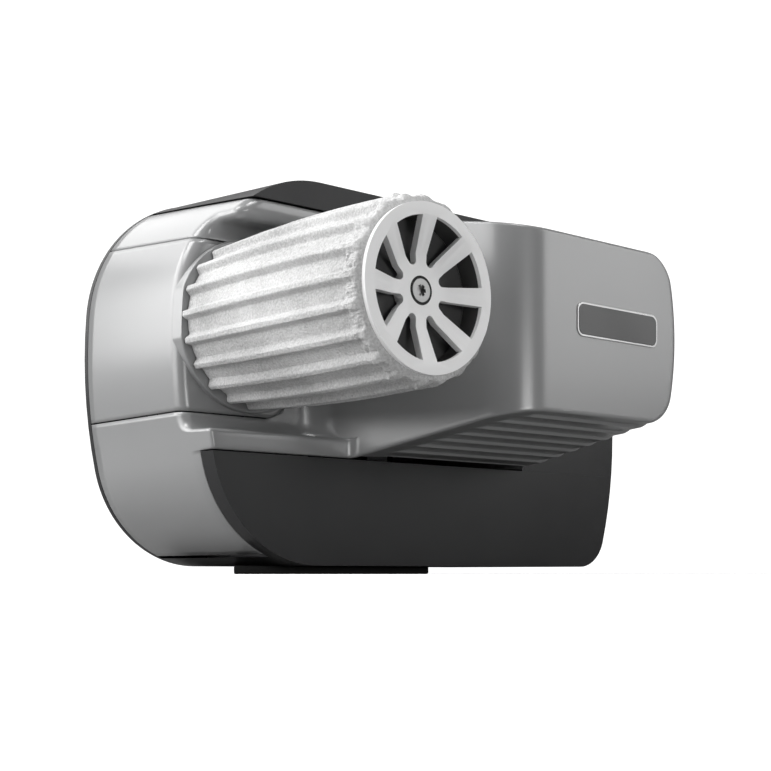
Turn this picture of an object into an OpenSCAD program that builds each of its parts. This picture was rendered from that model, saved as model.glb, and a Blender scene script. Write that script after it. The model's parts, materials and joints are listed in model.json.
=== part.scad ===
// Drive unit of a caravan motor mover. A grey drive unit with a ribbed roller slides on two rods in a
// black frame that bolts to the chassis. Millimetres, +Z up, origin under the middle of the foot.
// X runs away from the tyre, and Y from the roller's free end towards the chassis.

/* [Outline] */
// Leftmost reach of frame and drive unit, from the middle of the foot
side_x = -94.5; // [-97:0.5:-94]
// Height of the leftmost point
side_z = 106; // [102:1:108]
// Radius of the bulged left side
side_r = 260; // [220:5:290]
// Radius of the upper left corner at the front
top_r = 66; // [60:1:69]
// Radius of the upper left corner at the back
top_back_r = 71; // [66:1:74]
// Radius of the lower left corner
low_r = 60; // [52:1:62]
// Height of the flat top at the front
frame_top = 184.5; // [183.5:0.5:187]
// Height of the flat top at the back
frame_back_top = 192.5; // [190:0.5:195]
// Right edge of the frame
right_x = 185; // [183:1:195]
// Radius of the bulged lower right side
right_r = 208; // [190:2:230]
// Height below which the right side curves in
right_z = 77; // [70:1:84]
// Radius of the lower right corner
corner_r = 20; // [14:1:26]
// Radius of the upper right corner
top_corner_r = 25; // [15:1:35]

/* [Frame] */
// Front face of the frame
front_y = -52; // [-54:0.5:-50]
// Rear face of the frame, which bolts to the chassis
back_y = 52; // [51:0.5:56]
// Thickness of the rear plate
plate_t = 3; // [2.5:0.5:5]
// Depth of the front panel
panel_t = 9.5; // [8:0.5:10]
// Height of the front panel's top edge
panel_top = 55; // [53:0.5:56]
// Thickness of the bottom pan
pan_t = 4; // [3:0.5:5]
// Wall of the black moulded covers
cover_wall = 3; // [2:0.25:4]
// Left edge of the right-hand bay
bay_x = 131; // [129:0.5:134]
// Left edge of the end cover above the front panel
cover_left = 110; // [108.5:0.5:112]
// Length of the foot
foot_len = 125; // [100:1:140]
// Width of the foot
foot_w = 60; // [40:1:70]
// Height of the foot
foot_h = 4; // [3.5:0.25:5]
// Radius of the foot's corners
foot_r = 6; // [3:0.5:10]
// Chassis bolt spacing along X
bolt_dx = 150; // [130:1:155]
// Chassis bolt spacing along Z
bolt_dz = 100; // [80:1:105]
// Middle of the bolt pattern along X
bolt_x = 55; // [50:1:60]
// Middle of the bolt pattern along Z
bolt_z = 95; // [90:1:100]
// Radius of the chassis bolt holes
bolt_r = 5.25; // [4.25:0.25:6.5]

/* [Grey shells] */
// Wall of the grey shells
shell_wall = 4.5; // [3.5:0.25:4.75]
// Height of the grey top at the front face
top_front_z = 171; // [169:0.5:173]
// Height of the grey top at its back
top_back_z = 183.5; // [179:0.5:184]
// Plane of the recess wall behind the roller
recess_y = -31; // [-32:0.25:-30]
// Thickness of the recess wall
recess_t = 6; // [5:0.25:7]
// Top of the lower ledge
ledge_low_z = 65; // [62:0.5:68]
// Underside of the upper ledge
ledge_high_z = 161; // [159:0.5:163]
// Height of the lower seam
seam_low_z = 74; // [72:0.5:74]
// Height of the upper seam at the recess wall
seam_high_z = 154; // [150:0.5:156]
// Rise of the upper seam from the recess wall to the back
seam_rise = 7; // [0:0.5:8]
// Width of the visible seams
seam = 0.7; // [0.5:0.1:0.9]
// Right edge of the gearbox cover
cover_right = -31; // [-34:0.5:-28]
// Radius of the gearbox cover's right corners
cover_r = 14; // [8:1:16]
// Right end of the leg
leg_right = -34; // [-38:0.5:-33]
// Right end of the upper shell
shell_right = 108; // [100:1:116]
// Radius of the boss round the roller's root
boss_r = 40.3; // [38:0.1:40.5]
// Height of that boss above the recess wall
boss_h = 3; // [2:0.25:3.25]

/* [Motor housing] */
// Plane of the housing's front face
nose_y = -140; // [-144:0.5:-139]
// Height of the front face's top edge
nose_top = 157; // [154:0.5:160]
// Height of the front face's lower edge
nose_low = 74; // [70:0.5:76]
// Left end of the front face
nose_left = 15; // [10:0.5:20]
// Left wall of the housing at the frame's front face
wall_left = -9; // [-10:0.5:-7]
// Radius of the front face's left edge
nose_left_r = 26; // [15:1:28]
// Radius of the front face's other edges
nose_r = 7; // [3:0.5:9]
// Radius of the round right side
barrel_r = 127; // [110:1:140]
// Right end of the front face
nose_right = 129; // [126:0.5:131]
// Number of grooves under the housing
groove_count = 9; // [5:1:9]
// Pitch of the grooves
groove_pitch = 9.2; // [8:0.1:9.4]
// Width of a groove
groove_w = 4.4; // [3:0.1:6]
// Depth of a groove
groove_d = 3; // [1:0.25:4]
// Left end of the grooves, from the front face's left end
groove_in = 9; // [6:1:16]
// Wall in front of the motor
nose_wall = 5; // [3:0.25:5.5]

/* [Roller] */
// Roller axis along X
roller_x = -55; // [-55.25:0.25:-54]
// Roller axis height
roller_z = 115.75; // [114.5:0.25:116.25]
// Radius over the ribs at the middle of the roller
roller_r = 40.75; // [39:0.25:41.5]
// How much smaller that radius is at both ends
crown = 1.75; // [0.5:0.25:2]
// Inner radius of the roller's tube
roller_in = 30; // [26:0.25:31]
// Number of flutes
flutes = 20; // [14:1:21]
// Turn of the flutes from the X axis
flute_turn = 7; // [0:1:18]
// Radius of a flute
flute_r = 5; // [4:0.25:6]
// Depth of a flute at the middle of the roller
flute_d = 3; // [2.25:0.25:3.25]
// Solid rim ahead of the flutes
rim_len = 7; // [4:0.25:12]
// Chamfer of the roller's free end
rim_chamfer = 3.5; // [1:0.25:4]
// Web that carries the roller on its shaft
web_t = 12; // [8:0.5:20]
// Gap between the roller and the boss behind it
roller_gap = 0.5; // [0.4:0.1:1.5]
// Radius of the roller shaft
shaft_r = 10; // [8:0.25:11]

/* [Hub cap] */
// Face of the cap's ring
cap_y = -156; // [-158:0.5:-154]
// Outer radius of the ring
ring_r = 35; // [33:0.25:35.5]
// Inner radius of the ring
ring_in = 29.75; // [27:0.25:29.75]
// Thickness of the ring
ring_t = 2; // [1.5:0.25:3.25]
// Number of spokes
spokes = 8; // [5:1:10]
// Width of a spoke at the ring
spoke_w = 7.9; // [5:0.1:9]
// Width of a spoke at the edge of the middle disc
spoke_in_w = 6.1; // [4:0.1:7]
// Thickness of a spoke
spoke_t = 3.5; // [2:0.25:4.5]
// Radius of the middle disc, where the spokes bend forward
hub_r = 15.25; // [14:0.25:18]
// Radius of the windows' inner ends
window_r = 2.1; // [1:0.1:2.5]
// Depth of the middle disc's face behind the ring's face
hub_in = 5.5; // [3:0.25:7]
// Thickness of the middle disc's boss on the shaft
hub_t = 6; // [4.5:0.25:7]
// Thickness of the end plate behind the cap
end_plate_t = 5; // [3:0.25:8]
// Radius of the hub screw's head
screw_head_r = 4.8; // [4:0.1:5.5]
// Height of the hub screw's head
screw_head_h = 3.2; // [2.5:0.1:4]
// Radius of the hub screw's shank
screw_r = 2.5; // [2:0.1:3]
// Length of the hub screw's shank in the shaft
screw_len = 18; // [10:1:25]
// Depth of the seat for the screw's head
screw_seat = 3; // [1:0.1:3.5]
// Gap round the screw's head in its seat
seat_gap = 1.1; // [0.3:0.1:1.5]
// Radius of the six-lobe drive
drive_r = 2.4; // [2:0.1:3]

/* [Gears] */
// Module of the drive gears
gear_m = 2; // [1.95:0.01:2.02]
// Teeth of the final gear
final_teeth = 30; // [28:2:30]
// Teeth of the idler gear
idler_teeth = 38; // [36:2:38]
// Teeth of the motor pinion
pinion_teeth = 16; // [14:2:18]
// Face width of the drive gears
gear_w = 14; // [10:0.5:16]
// Backlash of the gears
backlash = 0.35; // [0.2:0.05:0.5]
// Pressure angle of the gears
pressure_angle = 20; // [18:0.5:22]
// Wall of the gear case
case_wall = 2.5; // [2:0.25:2.75]
// Gap round the gears in the case
case_gap = 0.8; // [0.5:0.1:1]
// Front wall of the gear case
case_front_t = 10; // [8:0.5:12]
// Gap from the front wall to the gears
gear_in = 15; // [11:0.5:18]
// Gap from the gears to the open back of the case
gear_out = 6; // [2:0.5:8]
// Thickness of the gasket under the lid
gasket_t = 1; // [0.5:0.1:1.5]
// Thickness of the lid
lid_t = 8; // [7:0.5:9]
// Outer radius of the front bearing
bearing_front_r = 20; // [17:0.5:22]
// Outer radius of the rear bearing
bearing_rear_r = 17.5; // [15:0.5:20]
// Outer radius of the shaft seal
seal_r = 17; // [15:0.5:19]
// Radius of the idler's pin
idler_pin_r = 6; // [4:0.25:8]
// Wall of the idler's bush
bush_wall = 3; // [2:0.25:4]
// Width of the shaft key
key_w = 6; // [4:0.5:7]

/* [Motor] */
// Outer radius of the motor
motor_r = 33; // [30:0.25:33.5]
// Wall of the motor's can
can_wall = 3; // [2:0.25:4]
// Thickness of the motor's end bell
bell_t = 6; // [4:0.5:8]
// Thickness of the motor's end cap
cap_t = 4; // [3:0.5:5]
// Radius of the armature
armature_r = 26; // [20:0.5:28]
// Gap from the armature to the motor's ends
armature_gap = 12; // [8:1:20]
// Radius of the motor shaft
motor_shaft_r = 6; // [4:0.25:7]
// Outer radius of the motor's bearing
motor_bearing_r = 13; // [11:0.5:14]

/* [Slide] */
// Travel towards the tyre
travel = 40; // [30:1:42]
// Radius of the guide rods
rod_r = 7; // [5:0.25:8]
// Distance of the guide rods from the middle
rod_y = 28; // [26:0.5:29]
// Height of the guide rods and the spindle
rod_z = 28; // [27:0.5:29]
// Left face of the rod bracket
bracket_x = -30; // [-31:0.5:-28]
// Thickness of the two brackets
bracket_t = 8; // [6:0.5:10]
// Height of the rod bracket's top edge
bracket_top = 43; // [41:0.5:44]
// Half the width of the brackets
bracket_half = 39; // [37:0.5:40]
// Left faces of the carriage's lugs
lug_1_x = 40; // [36:1:44]
// Left faces of the lugs further right
lug_2_x = 98; // [92:1:100]
// Length of a lug
lug_len = 16; // [10:0.5:18]
// Width of a lug
lug_w = 24; // [20:0.5:25]
// Lower end of a lug
lug_low_z = 15; // [13:0.5:17]
// Underside of the carriage
carriage_z = 48; // [47:0.25:49]
// Thickness of the carriage
carriage_t = 5; // [4:0.25:6]
// Wall of the slide bushes
slide_bush_wall = 2; // [1:0.25:3]
// Radius of the spindle
spindle_r = 5; // [4:0.25:6]
// Left face of the spindle nut
nut_x = 62; // [60:1:66]
// Length of the spindle nut
nut_len = 20; // [14:1:24]
// Width of the spindle nut
nut_w = 24; // [20:1:26]
// Module of the engaging gears
eng_m = 1; // [0.9:0.05:1]
// Teeth of the spindle gear
spindle_teeth = 24; // [22:2:26]
// Teeth of the engaging motor's pinion
eng_teeth = 24; // [22:2:24]
// Face width of the engaging gears
eng_w = 8; // [6:0.5:8]
// Radius of the engaging motor
eng_r = 16; // [12:0.5:17]
// Room from the engaging motor to the end cover's wall
eng_room = 9; // [5:1:14]
// Radius of the engaging motor's shaft
eng_shaft_r = 2; // [1.5:0.1:2.5]
// Width across the flats of the hand drive
hex_af = 8; // [6:0.5:8.5]
// Radius of the hand drive's hole in the end cover
hex_hole_r = 9; // [8:0.5:11]

/* [Fasteners and gland] */
// Radius of the M5 screws
m5_r = 2.5; // [2:0.1:2.6]
// Radius of their heads
m5_head_r = 4.3; // [4:0.1:4.6]
// Height of their heads
m5_head_h = 3; // [2:0.1:3.2]
// Height of the low heads under the pan
low_head_h = 2; // [1.5:0.1:2.5]
// Depth of the lip behind the front panel
lip_d = 10; // [8:0.5:11]
// Thickness of that lip
lip_t = 3.5; // [3:0.25:4.5]
// Height of the cable gland
gland_z = 130; // [110:1:150]
// Position of the cable gland along Y
gland_y = 15; // [0:1:25]
// Radius of the cable gland's thread
gland_r = 9; // [7:0.5:11]
// Radius of the gland's bore
gland_bore_r = 4.5; // [3:0.25:5]
// Thickness of the gland's flange
gland_flange = 6; // [4:0.5:8]
// Length of the gland's dome nut
gland_dome = 9; // [6:0.5:12]
// Length of the gland's thread inside the cover
gland_thread = 10; // [8:0.5:14]

/* [Clearances] */
// Radial clearance of parts that are fixed together
fix_gap = 0.03; // [0.02:0.01:0.05]
// Radial clearance of parts that turn or slide
run_gap = 0.06; // [0.03:0.01:0.1]
// Gap between the drive unit and the frame
unit_gap = 0.6; // [0.4:0.1:0.8]

/* [Hidden] */
$fn = 64;

arc_step = 3;
far = 400;
cut = 1;

frame_low = foot_h;
pan_top = frame_low + pan_t;
plate_y = back_y - plate_t;
panel_back = front_y + panel_t;
grey_back = plate_y - unit_gap;
grey_low = pan_top + 2 * unit_gap;
ledge_under = panel_top + unit_gap;
leg_front = panel_back + unit_gap;
case_y = recess_y + recess_t;
case_back = case_y + case_front_t + gear_in + gear_w + gear_out;
gear_y = case_y + case_front_t + gear_in;
lid_y = case_back + gasket_t;
lid_back = lid_y + lid_t;

idler_x = roller_x + gear_m * (final_teeth + idler_teeth) / 2;
motor_x = idler_x + gear_m * (idler_teeth + pinion_teeth) / 2;
tip = 0.85 * gear_m;
final_cut_r = gear_m * final_teeth / 2 + tip + case_gap;
idler_cut_r = gear_m * idler_teeth / 2 + tip + case_gap;
pinion_cut_r = gear_m * pinion_teeth / 2 + tip + m5_head_r * 2 + case_gap;
motor_case_r = motor_r + 2 * case_wall;

roller_end = recess_y - boss_h - roller_gap;
roller_front = cap_y + ring_t;
hub_y = cap_y + hub_in;
hub_back = hub_y + hub_t;
motor_front = nose_y + nose_wall;
bell_y = case_y - bell_t;
carriage_top = carriage_z + carriage_t;
lug_bore_r = rod_r + slide_bush_wall + run_gap + fix_gap;
spindle_bush_r = spindle_r + bush_wall;
eng_z = rod_z + eng_m * (spindle_teeth + eng_teeth) / 2;
eng_len = right_x - cover_wall - eng_room - bay_x - bracket_t;
eng_gear_x = bay_x - eng_w - cut;
end_bracket_top = eng_z + eng_r + case_wall;
lip_y = panel_back + lip_d / 2;

side_c = [side_x + side_r, side_z];
low_a = asin((side_z - low_r - frame_low) / (side_r - low_r));
low_c = side_c - (side_r - low_r) * [cos(low_a), sin(low_a)];
right_c = [right_x - right_r, right_z];
corner_a = asin((right_z - corner_r - frame_low) / (right_r - corner_r));
corner_c = right_c + (right_r - corner_r) * [cos(corner_a), -sin(corner_a)];

// Points of an arc; the last one is left out where the next arc starts there
function arc(c, r, a0, a1, last = true) =
    let (n = max(2, ceil(abs(a1 - a0) / arc_step)))
    [for (i = [0 : last ? n : n - 1]) c + r * [cos(a0 + (a1 - a0) * i / n), sin(a0 + (a1 - a0) * i / n)]];

// The roof slopes up to the back: its share of that way, height, left radius, arc end and centre at a depth
function roof_share(y) = (y - front_y) / (back_y - front_y);
function roof_z(y) = frame_top + (frame_back_top - frame_top) * roof_share(y);
function roof_r(y) = top_r + (top_back_r - top_r) * roof_share(y);
function roof_a(y) = asin((roof_z(y) - roof_r(y) - side_z) / (side_r - roof_r(y)));
function roof_c(y) = side_c + (side_r - roof_r(y)) * [-cos(roof_a(y)), sin(roof_a(y))];

// The unit's side view at a depth, grown outwards by a distance
function outline(grow, y) = concat(
    arc(roof_c(y), roof_r(y) + grow, 90, 180 - roof_a(y), false),
    arc(side_c, side_r + grow, 180 - roof_a(y), 180, false),
    arc(side_c, side_r + grow, 180, 180 + low_a, false),
    arc(low_c, low_r + grow, 180 + low_a, 270),
    arc(corner_c, corner_r + grow, 270, 360 - corner_a, false),
    arc(right_c, right_r + grow, -corner_a, 0),
    arc([right_x, roof_z(y)] - top_corner_r * [1, 1], top_corner_r + grow, 0, 90));

function unit(v) = v / norm(v);

// One corner of an outline, rounded by a radius
function corner(p0, p1, p2, r) = r == 0 ? [p1] :
    let (
        a = unit(p0 - p1),
        b = unit(p2 - p1),
        half = acos(a * b) / 2,
        c = p1 + unit(a + b) * r / sin(half),
        s = p1 + a * r / tan(half) - c,
        e = p1 + b * r / tan(half) - c,
        a0 = atan2(s.y, s.x),
        turn = (atan2(e.y, e.x) - a0 + 540) % 360 - 180)
    arc(c, r, a0, a0 + turn);

// An outline from corners given as x, y and radius
function rounded(p) = let (n = len(p)) [for (i = [0 : n - 1])
    each corner([p[(i + n - 1) % n].x, p[(i + n - 1) % n].y], [p[i].x, p[i].y],
        [p[(i + 1) % n].x, p[(i + 1) % n].y], p[i].z)];

// Height of the grey top, of the upper seam and of the housing's slopes at a depth y
function top_z(y) = top_front_z + (top_back_z - top_front_z) * (y - front_y) / (grey_back - front_y);
function seam_z(y) = seam_high_z + seam_rise * (y - recess_y) / (grey_back - recess_y);
function wall_x(y) = wall_left + (nose_left - wall_left) * (y - front_y) / (nose_y - front_y);
function under_z(y) = ledge_under + (nose_low - ledge_under) * (y - front_y) / (nose_y - front_y);

// Involute tooth: half its width as an angle at a radius
function involute(a) = tan(a) * 180 / PI - a;
function tooth_half(r, pitch_r, teeth) =
    let (base_r = pitch_r * cos(pressure_angle))
    90 / teeth - backlash / 2 / pitch_r * 180 / PI + involute(pressure_angle)
        - involute(acos(min(1, base_r / r)));

// Gear outline, with a tooth in the middle of +X before it is turned
function gear_points(teeth, m, turn) =
    let (pitch_r = teeth * m / 2, radii = [-1.2 * m, -0.5 * m, 0, 0.85 * m])
    [for (t = [0 : teeth - 1], s = [-1, 1], k = [0 : 3])
        let (
            r = pitch_r + radii[s < 0 ? k : 3 - k],
            a = turn + t * 360 / teeth + s * tooth_half(r, pitch_r, teeth))
        r * [cos(a), sin(a)]];

// Drawing in side view: an outline carried along Y, a bar along Y, and a bar along X
module along_y(y0, y1) {
    translate([0, y1, 0]) rotate([90, 0, 0]) linear_extrude(y1 - y0) children();
}

module along_x(x0, x1) {
    translate([x0, 0, 0]) rotate([90, 0, 90]) linear_extrude(x1 - x0) children();
}

module bar_y(x, z, y0, y1, r) {
    translate([x, y0, z]) rotate([-90, 0, 0]) cylinder(h = y1 - y0, r = r);
}

module bar_x(y, z, x0, x1, r) {
    translate([x0, y, z]) rotate([0, 90, 0]) cylinder(h = x1 - x0, r = r);
}

module ring_y(x, z, y0, y1, r_out, r_in) {
    difference() {
        bar_y(x, z, y0, y1, r_out);
        bar_y(x, z, y0 - cut, y1 + cut, r_in);
    }
}

module ring_x(y, z, x0, x1, r_out, r_in) {
    difference() {
        bar_x(y, z, x0, x1, r_out);
        bar_x(y, z, x0 - cut, x1 + cut, r_in);
    }
}

module box(x0, x1, y0, y1, z0, z1) {
    translate([x0, y0, z0]) cube([x1 - x0, y1 - y0, z1 - z0]);
}

module window(x0, x1, z0, z1) {
    translate([x0, z0]) square([x1 - x0, z1 - z0]);
}

module side_view(grow = 0, y = front_y) {
    polygon(outline(grow, y));
}

// Solid of the side view from the front to the taller back
module envelope(grow = 0) {
    hull() {
        along_y(front_y - cut, front_y) side_view(grow, front_y);
        along_y(back_y, back_y + cut) side_view(grow, back_y);
    }
}

// Space above the grey top, which the black top cover fills
module above_grey(gap) {
    along_x(-far, far) polygon([
        [front_y - far, top_z(front_y - far) + gap],
        [plate_y + far, top_z(plate_y + far) + gap],
        [plate_y + far, far],
        [front_y - far, far]]);
}

// Bolts and screws along Y and Z, head first
module screw_y(x, z, y0, len) {
    bar_y(x, z, y0, y0 + m5_head_h, m5_head_r);
    bar_y(x, z, y0 - len, y0 + cut / 2, m5_r);
}

module screw_z(x, y, z0, len) {
    translate([x, y, z0 - m5_head_h]) cylinder(h = m5_head_h, r = m5_head_r);
    translate([x, y, z0 - m5_head_h / 2]) cylinder(h = len + m5_head_h / 2, r = m5_r);
}

module rear_plate() {
    color("dimgray") difference() {
        along_y(plate_y, back_y) side_view(0, back_y);
        for (i = [-1, 1], k = [-1, 1])
            bar_y(bolt_x + i * bolt_dx / 2, bolt_z + k * bolt_dz / 2, plate_y - cut, back_y + cut, bolt_r);
    }
}

lip_x = [bracket_x + bracket_t + 2 * unit_gap, bay_x - 2 * eng_w - unit_gap];
pan_screw_x = [for (i = [1 : 2 : 5]) lip_x[0] + (lip_x[1] - lip_x[0]) * i / 6];

module front_panel() {
    color("dimgray") difference() {
        union() {
            difference() {
                along_y(front_y, panel_back) intersection() {
                    side_view();
                    window(-far, far, 0, panel_top);
                }
                along_y(front_y + cover_wall, panel_back + cut) intersection() {
                    side_view(-cover_wall);
                    window(-far, far, 0, panel_top - cover_wall);
                }
            }
            box(lip_x[0], lip_x[1], front_y + cover_wall / 2, panel_back + lip_d, pan_top, pan_top + lip_t);
        }
        for (x = pan_screw_x)
            translate([x, lip_y, pan_top - cut]) cylinder(h = lip_t + 2 * cut, r = m5_r + fix_gap);
    }
}

module bottom_pan() {
    color("dimgray") difference() {
        along_y(panel_back, plate_y) intersection() {
            side_view();
            window(-far, far, 0, pan_top);
        }
        for (x = pan_screw_x) {
            translate([x, lip_y, 0]) cylinder(h = pan_top + cut, r = m5_r + fix_gap);
            translate([x, lip_y, 0]) cylinder(h = frame_low + low_head_h, r = m5_head_r + fix_gap);
        }
    }
}

module top_cover() {
    color("dimgray") difference() {
        intersection() {
            envelope();
            box(-far, far, front_y, plate_y, 0, far);
            above_grey(unit_gap);
        }
        intersection() {
            envelope(-cover_wall);
            along_y(front_y + cover_wall, plate_y - 2 * cover_wall) window(-far, bay_x - cover_wall, 0, far);
        }
    }
}

module end_cover() {
    color("dimgray") difference() {
        intersection() {
            envelope();
            along_y(front_y, plate_y) window(cover_left, far, pan_top, far);
        }
        above_grey(unit_gap);
        along_y(front_y - cut, panel_back) window(-far, far, 0, panel_top);
        along_y(front_y - cut, plate_y + cut) window(-far, bay_x, 0, panel_top);
        intersection() {
            envelope(-cover_wall);
            along_y(front_y + cover_wall, plate_y + cut) window(-far, far, panel_top + cover_wall, far);
        }
        intersection() {
            envelope(-cover_wall);
            along_y(panel_back + cover_wall, plate_y + cut) window(-far, far, 0, far);
        }
        bar_x(0, rod_z, right_x - 4 * cover_wall, right_x + cut, hex_hole_r);
        bar_x(gland_y, gland_z, right_x - 2 * cover_wall, right_x + cut, gland_r + fix_gap);
    }
}

module foot() {
    color("black") linear_extrude(foot_h) polygon(rounded([
        for (p = [[-1, -1], [1, -1], [1, 1], [-1, 1]]) [p.x * foot_len / 2, p.y * foot_w / 2, foot_r]]));
}

module bracket_holes(x) {
    for (s = [-1, 1])
        bar_x(s * rod_y, rod_z, x - cut, x + bracket_t + cut, rod_r + fix_gap);
    bar_x(0, rod_z, x - cut, x + bracket_t + cut, spindle_bush_r + fix_gap);
}

module rod_bracket() {
    color("gray") difference() {
        box(bracket_x, bracket_x + bracket_t, -bracket_half, bracket_half, pan_top, bracket_top);
        bracket_holes(bracket_x);
    }
}

module end_bracket() {
    color("gray") difference() {
        box(bay_x, bay_x + bracket_t, -bracket_half, bracket_half, pan_top, end_bracket_top);
        bracket_holes(bay_x);
        bar_x(0, eng_z, bay_x - cut, bay_x + bracket_t + cut, eng_shaft_r + bush_wall);
    }
}

module guide_rods() {
    color("silver") for (s = [-1, 1])
        bar_x(s * rod_y, rod_z, bracket_x, bay_x + bracket_t, rod_r);
}

module spindle_bushes() {
    color("goldenrod") for (x = [bracket_x, bay_x])
        ring_x(0, rod_z, x, x + bracket_t, spindle_bush_r, spindle_r + run_gap);
}

module engage_motor() {
    color("gray") difference() {
        union() {
            bar_x(0, eng_z, bay_x + bracket_t, bay_x + bracket_t + eng_len, eng_r);
            bar_x(0, eng_z, bay_x + bracket_t - bush_wall, bay_x + bracket_t + cut,
                eng_shaft_r + bush_wall - fix_gap);
        }
        bar_x(0, eng_z, bay_x, bay_x + bracket_t + eng_len / 2, eng_shaft_r + run_gap);
    }
}

module cable_gland() {
    color("black") difference() {
        union() {
            bar_x(gland_y, gland_z, right_x - cover_wall - gland_thread, right_x + cut, gland_r);
            translate([right_x, gland_y, gland_z]) rotate([0, 90, 0])
                cylinder(h = gland_flange, r = gland_r * 1.35, $fn = 6);
            bar_x(gland_y, gland_z, right_x + gland_flange - cut, right_x + gland_flange + gland_dome, gland_r);
        }
        bar_x(gland_y, gland_z, right_x - far, right_x + far, gland_bore_r);
    }
}

module gland_nut() {
    color("black") difference() {
        translate([right_x - cover_wall - gland_flange, gland_y, gland_z]) rotate([0, 90, 0])
            cylinder(h = gland_flange, r = gland_r * 1.35, $fn = 6);
        bar_x(gland_y, gland_z, right_x - far, right_x + far, gland_r + fix_gap);
    }
}

module pan_screws() {
    color("silver") for (x = pan_screw_x) translate([x, lip_y, frame_low]) {
        cylinder(h = low_head_h, r = m5_head_r);
        cylinder(h = pan_t + lip_t, r = m5_r);
    }
}

// Plan of the motor housing: a slanted left wall, rounded front edges, and on the right a part that
// overlaps the end cover's front
module housing_plan() {
    polygon(rounded([
        [wall_x(case_y), case_y, 0],
        [nose_left, nose_y, nose_left_r],
        [nose_right, nose_y, nose_r],
        [nose_right, front_y - unit_gap, 0],
        [cover_left - unit_gap, front_y - unit_gap, 0],
        [cover_left - unit_gap, case_y, 0]]));
}

module housing_prism() {
    linear_extrude(far) housing_plan();
}

// Seam-wide cut round the gearbox cover, in side view
module cover_view(gap) {
    polygon(rounded([
        [-far, seam_low_z - gap, 0],
        [cover_right + gap, seam_low_z - gap, cover_r],
        [cover_right + gap, far, 0],
        [-far, far, 0]]));
}

module below_seam(gap) {
    along_x(-far, far) polygon([
        [-far, seam_z(-far) - gap],
        [far, seam_z(far) - gap],
        [far, -far],
        [-far, -far]]);
}

module upper_shell() {
    color("lightgray") difference() {
        union() {
            intersection() {
                envelope();
                along_y(recess_y, grey_back) window(-far, shell_right, 0, far);
            }
            intersection() {
                envelope();
                along_y(front_y, recess_y + cut) window(-far, nose_left, ledge_high_z, far);
            }
        }
        above_grey(0);
        below_seam(-seam / 2);
        housing_prism();
        along_y(recess_y - cut, case_y) window(cover_right + seam / 2, far, 0, ledge_high_z);
        difference() {
            along_y(case_y, grey_back + cut) difference() {
                side_view(-shell_wall);
                window(idler_x - cover_r, idler_x + cover_r, roller_z + idler_cut_r + case_wall, far);
            }
            above_grey(-shell_wall);
        }
        along_y(case_back, grey_back + cut) intersection() {
            side_view(-shell_wall);
            window(idler_x - 2 * cover_r, idler_x + 2 * cover_r, 0, top_z(case_back) - shell_wall);
        }
        along_y(case_y - cut, case_back + cut) window(idler_x - 2 * cover_r, idler_x + 2 * cover_r, 0,
            roller_z + idler_cut_r + case_wall);
    }
}

module gearbox_cover() {
    color("lightgray") difference() {
        intersection() {
            union() {
                intersection() {
                    envelope();
                    along_y(recess_y, grey_back) cover_view(-seam / 2);
                }
                intersection() {
                    envelope();
                    bar_y(roller_x, roller_z, recess_y - boss_h, recess_y, boss_r);
                }
            }
            below_seam(seam / 2);
        }
        along_y(case_y, grey_back + cut) side_view(-shell_wall);
        along_y(case_y, grey_back + cut) case_outer_view(case_gap);
        bar_y(roller_x, roller_z, recess_y - far, case_y + cut, seal_r + fix_gap);
    }
}

module lower_shell() {
    color("lightgray") difference() {
        union() {
            along_y(leg_front, grey_back) intersection() {
                side_view();
                window(-far, leg_right, grey_low, seam_low_z - seam / 2);
            }
            along_y(front_y, case_y) intersection() {
                side_view();
                window(-far, nose_left, ledge_under, ledge_low_z);
            }
            along_y(recess_y, case_y) intersection() {
                side_view();
                window(-far, cover_right - cover_r, ledge_under, seam_low_z - seam / 2);
            }
        }
        housing_prism();
        along_y(leg_front + shell_wall, recess_y) intersection() {
            side_view(-shell_wall);
            window(-far, leg_right - shell_wall, grey_low + shell_wall, ledge_under - shell_wall);
        }
        along_y(case_y, grey_back + cut) intersection() {
            side_view(-shell_wall);
            window(-far, leg_right - shell_wall, grey_low + shell_wall, far);
        }
        along_y(leg_front - cut, case_y) window(cover_right - cover_r, far, ledge_low_z, far);
    }
}

module motor_housing() {
    color("lightgray") difference() {
        union() {
            intersection() {
                housing_prism();
                along_x(-far, far) polygon(rounded([
                    [nose_y, nose_low, nose_r],
                    [front_y, ledge_under, 0],
                    [case_y, ledge_under, 0],
                    [case_y, top_z(case_y), 0],
                    [front_y, top_front_z, 0],
                    [nose_y, nose_top, nose_r]]));
                bar_y(nose_right - barrel_r, roller_z, nose_y - cut, case_y + cut, barrel_r);
            }
            along_y(recess_y, case_y) difference() {
                window(cover_right - cover_r, wall_x(case_y) + cut, ledge_low_z, ledge_high_z);
                cover_view(seam / 2);
            }
        }
        for (i = [0 : groove_count - 1])
            groove(nose_y + nose_r + groove_pitch * i);
        bar_y(motor_x, roller_z, motor_front, case_y + cut, motor_r + fix_gap);
    }
}

// One groove under the housing, open to the right
module groove(y) {
    box(wall_x(y) + groove_in, far, y, y + groove_w, 0, under_z(y) + groove_d);
}

module case_view(grow) {
    translate([roller_x, roller_z]) circle(final_cut_r + grow);
    translate([idler_x, roller_z]) circle(idler_cut_r + grow);
    window(roller_x, idler_x,
        roller_z - final_cut_r + cover_r / 2 - grow, roller_z + final_cut_r - cover_r / 2 + grow);
}

lid_screw_at = concat(
    [for (a = [60, 120, 240, 300]) [idler_x, roller_z] + (idler_cut_r + m5_r + case_wall) * [cos(a), sin(a)]],
    [for (a = [110, 250]) [roller_x, roller_z] + (final_cut_r + m5_r + case_wall) * [cos(a), sin(a)]],
    [for (a = [60, 300]) [motor_x, roller_z] + (motor_case_r - m5_r) * [cos(a), sin(a)]]);

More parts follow.
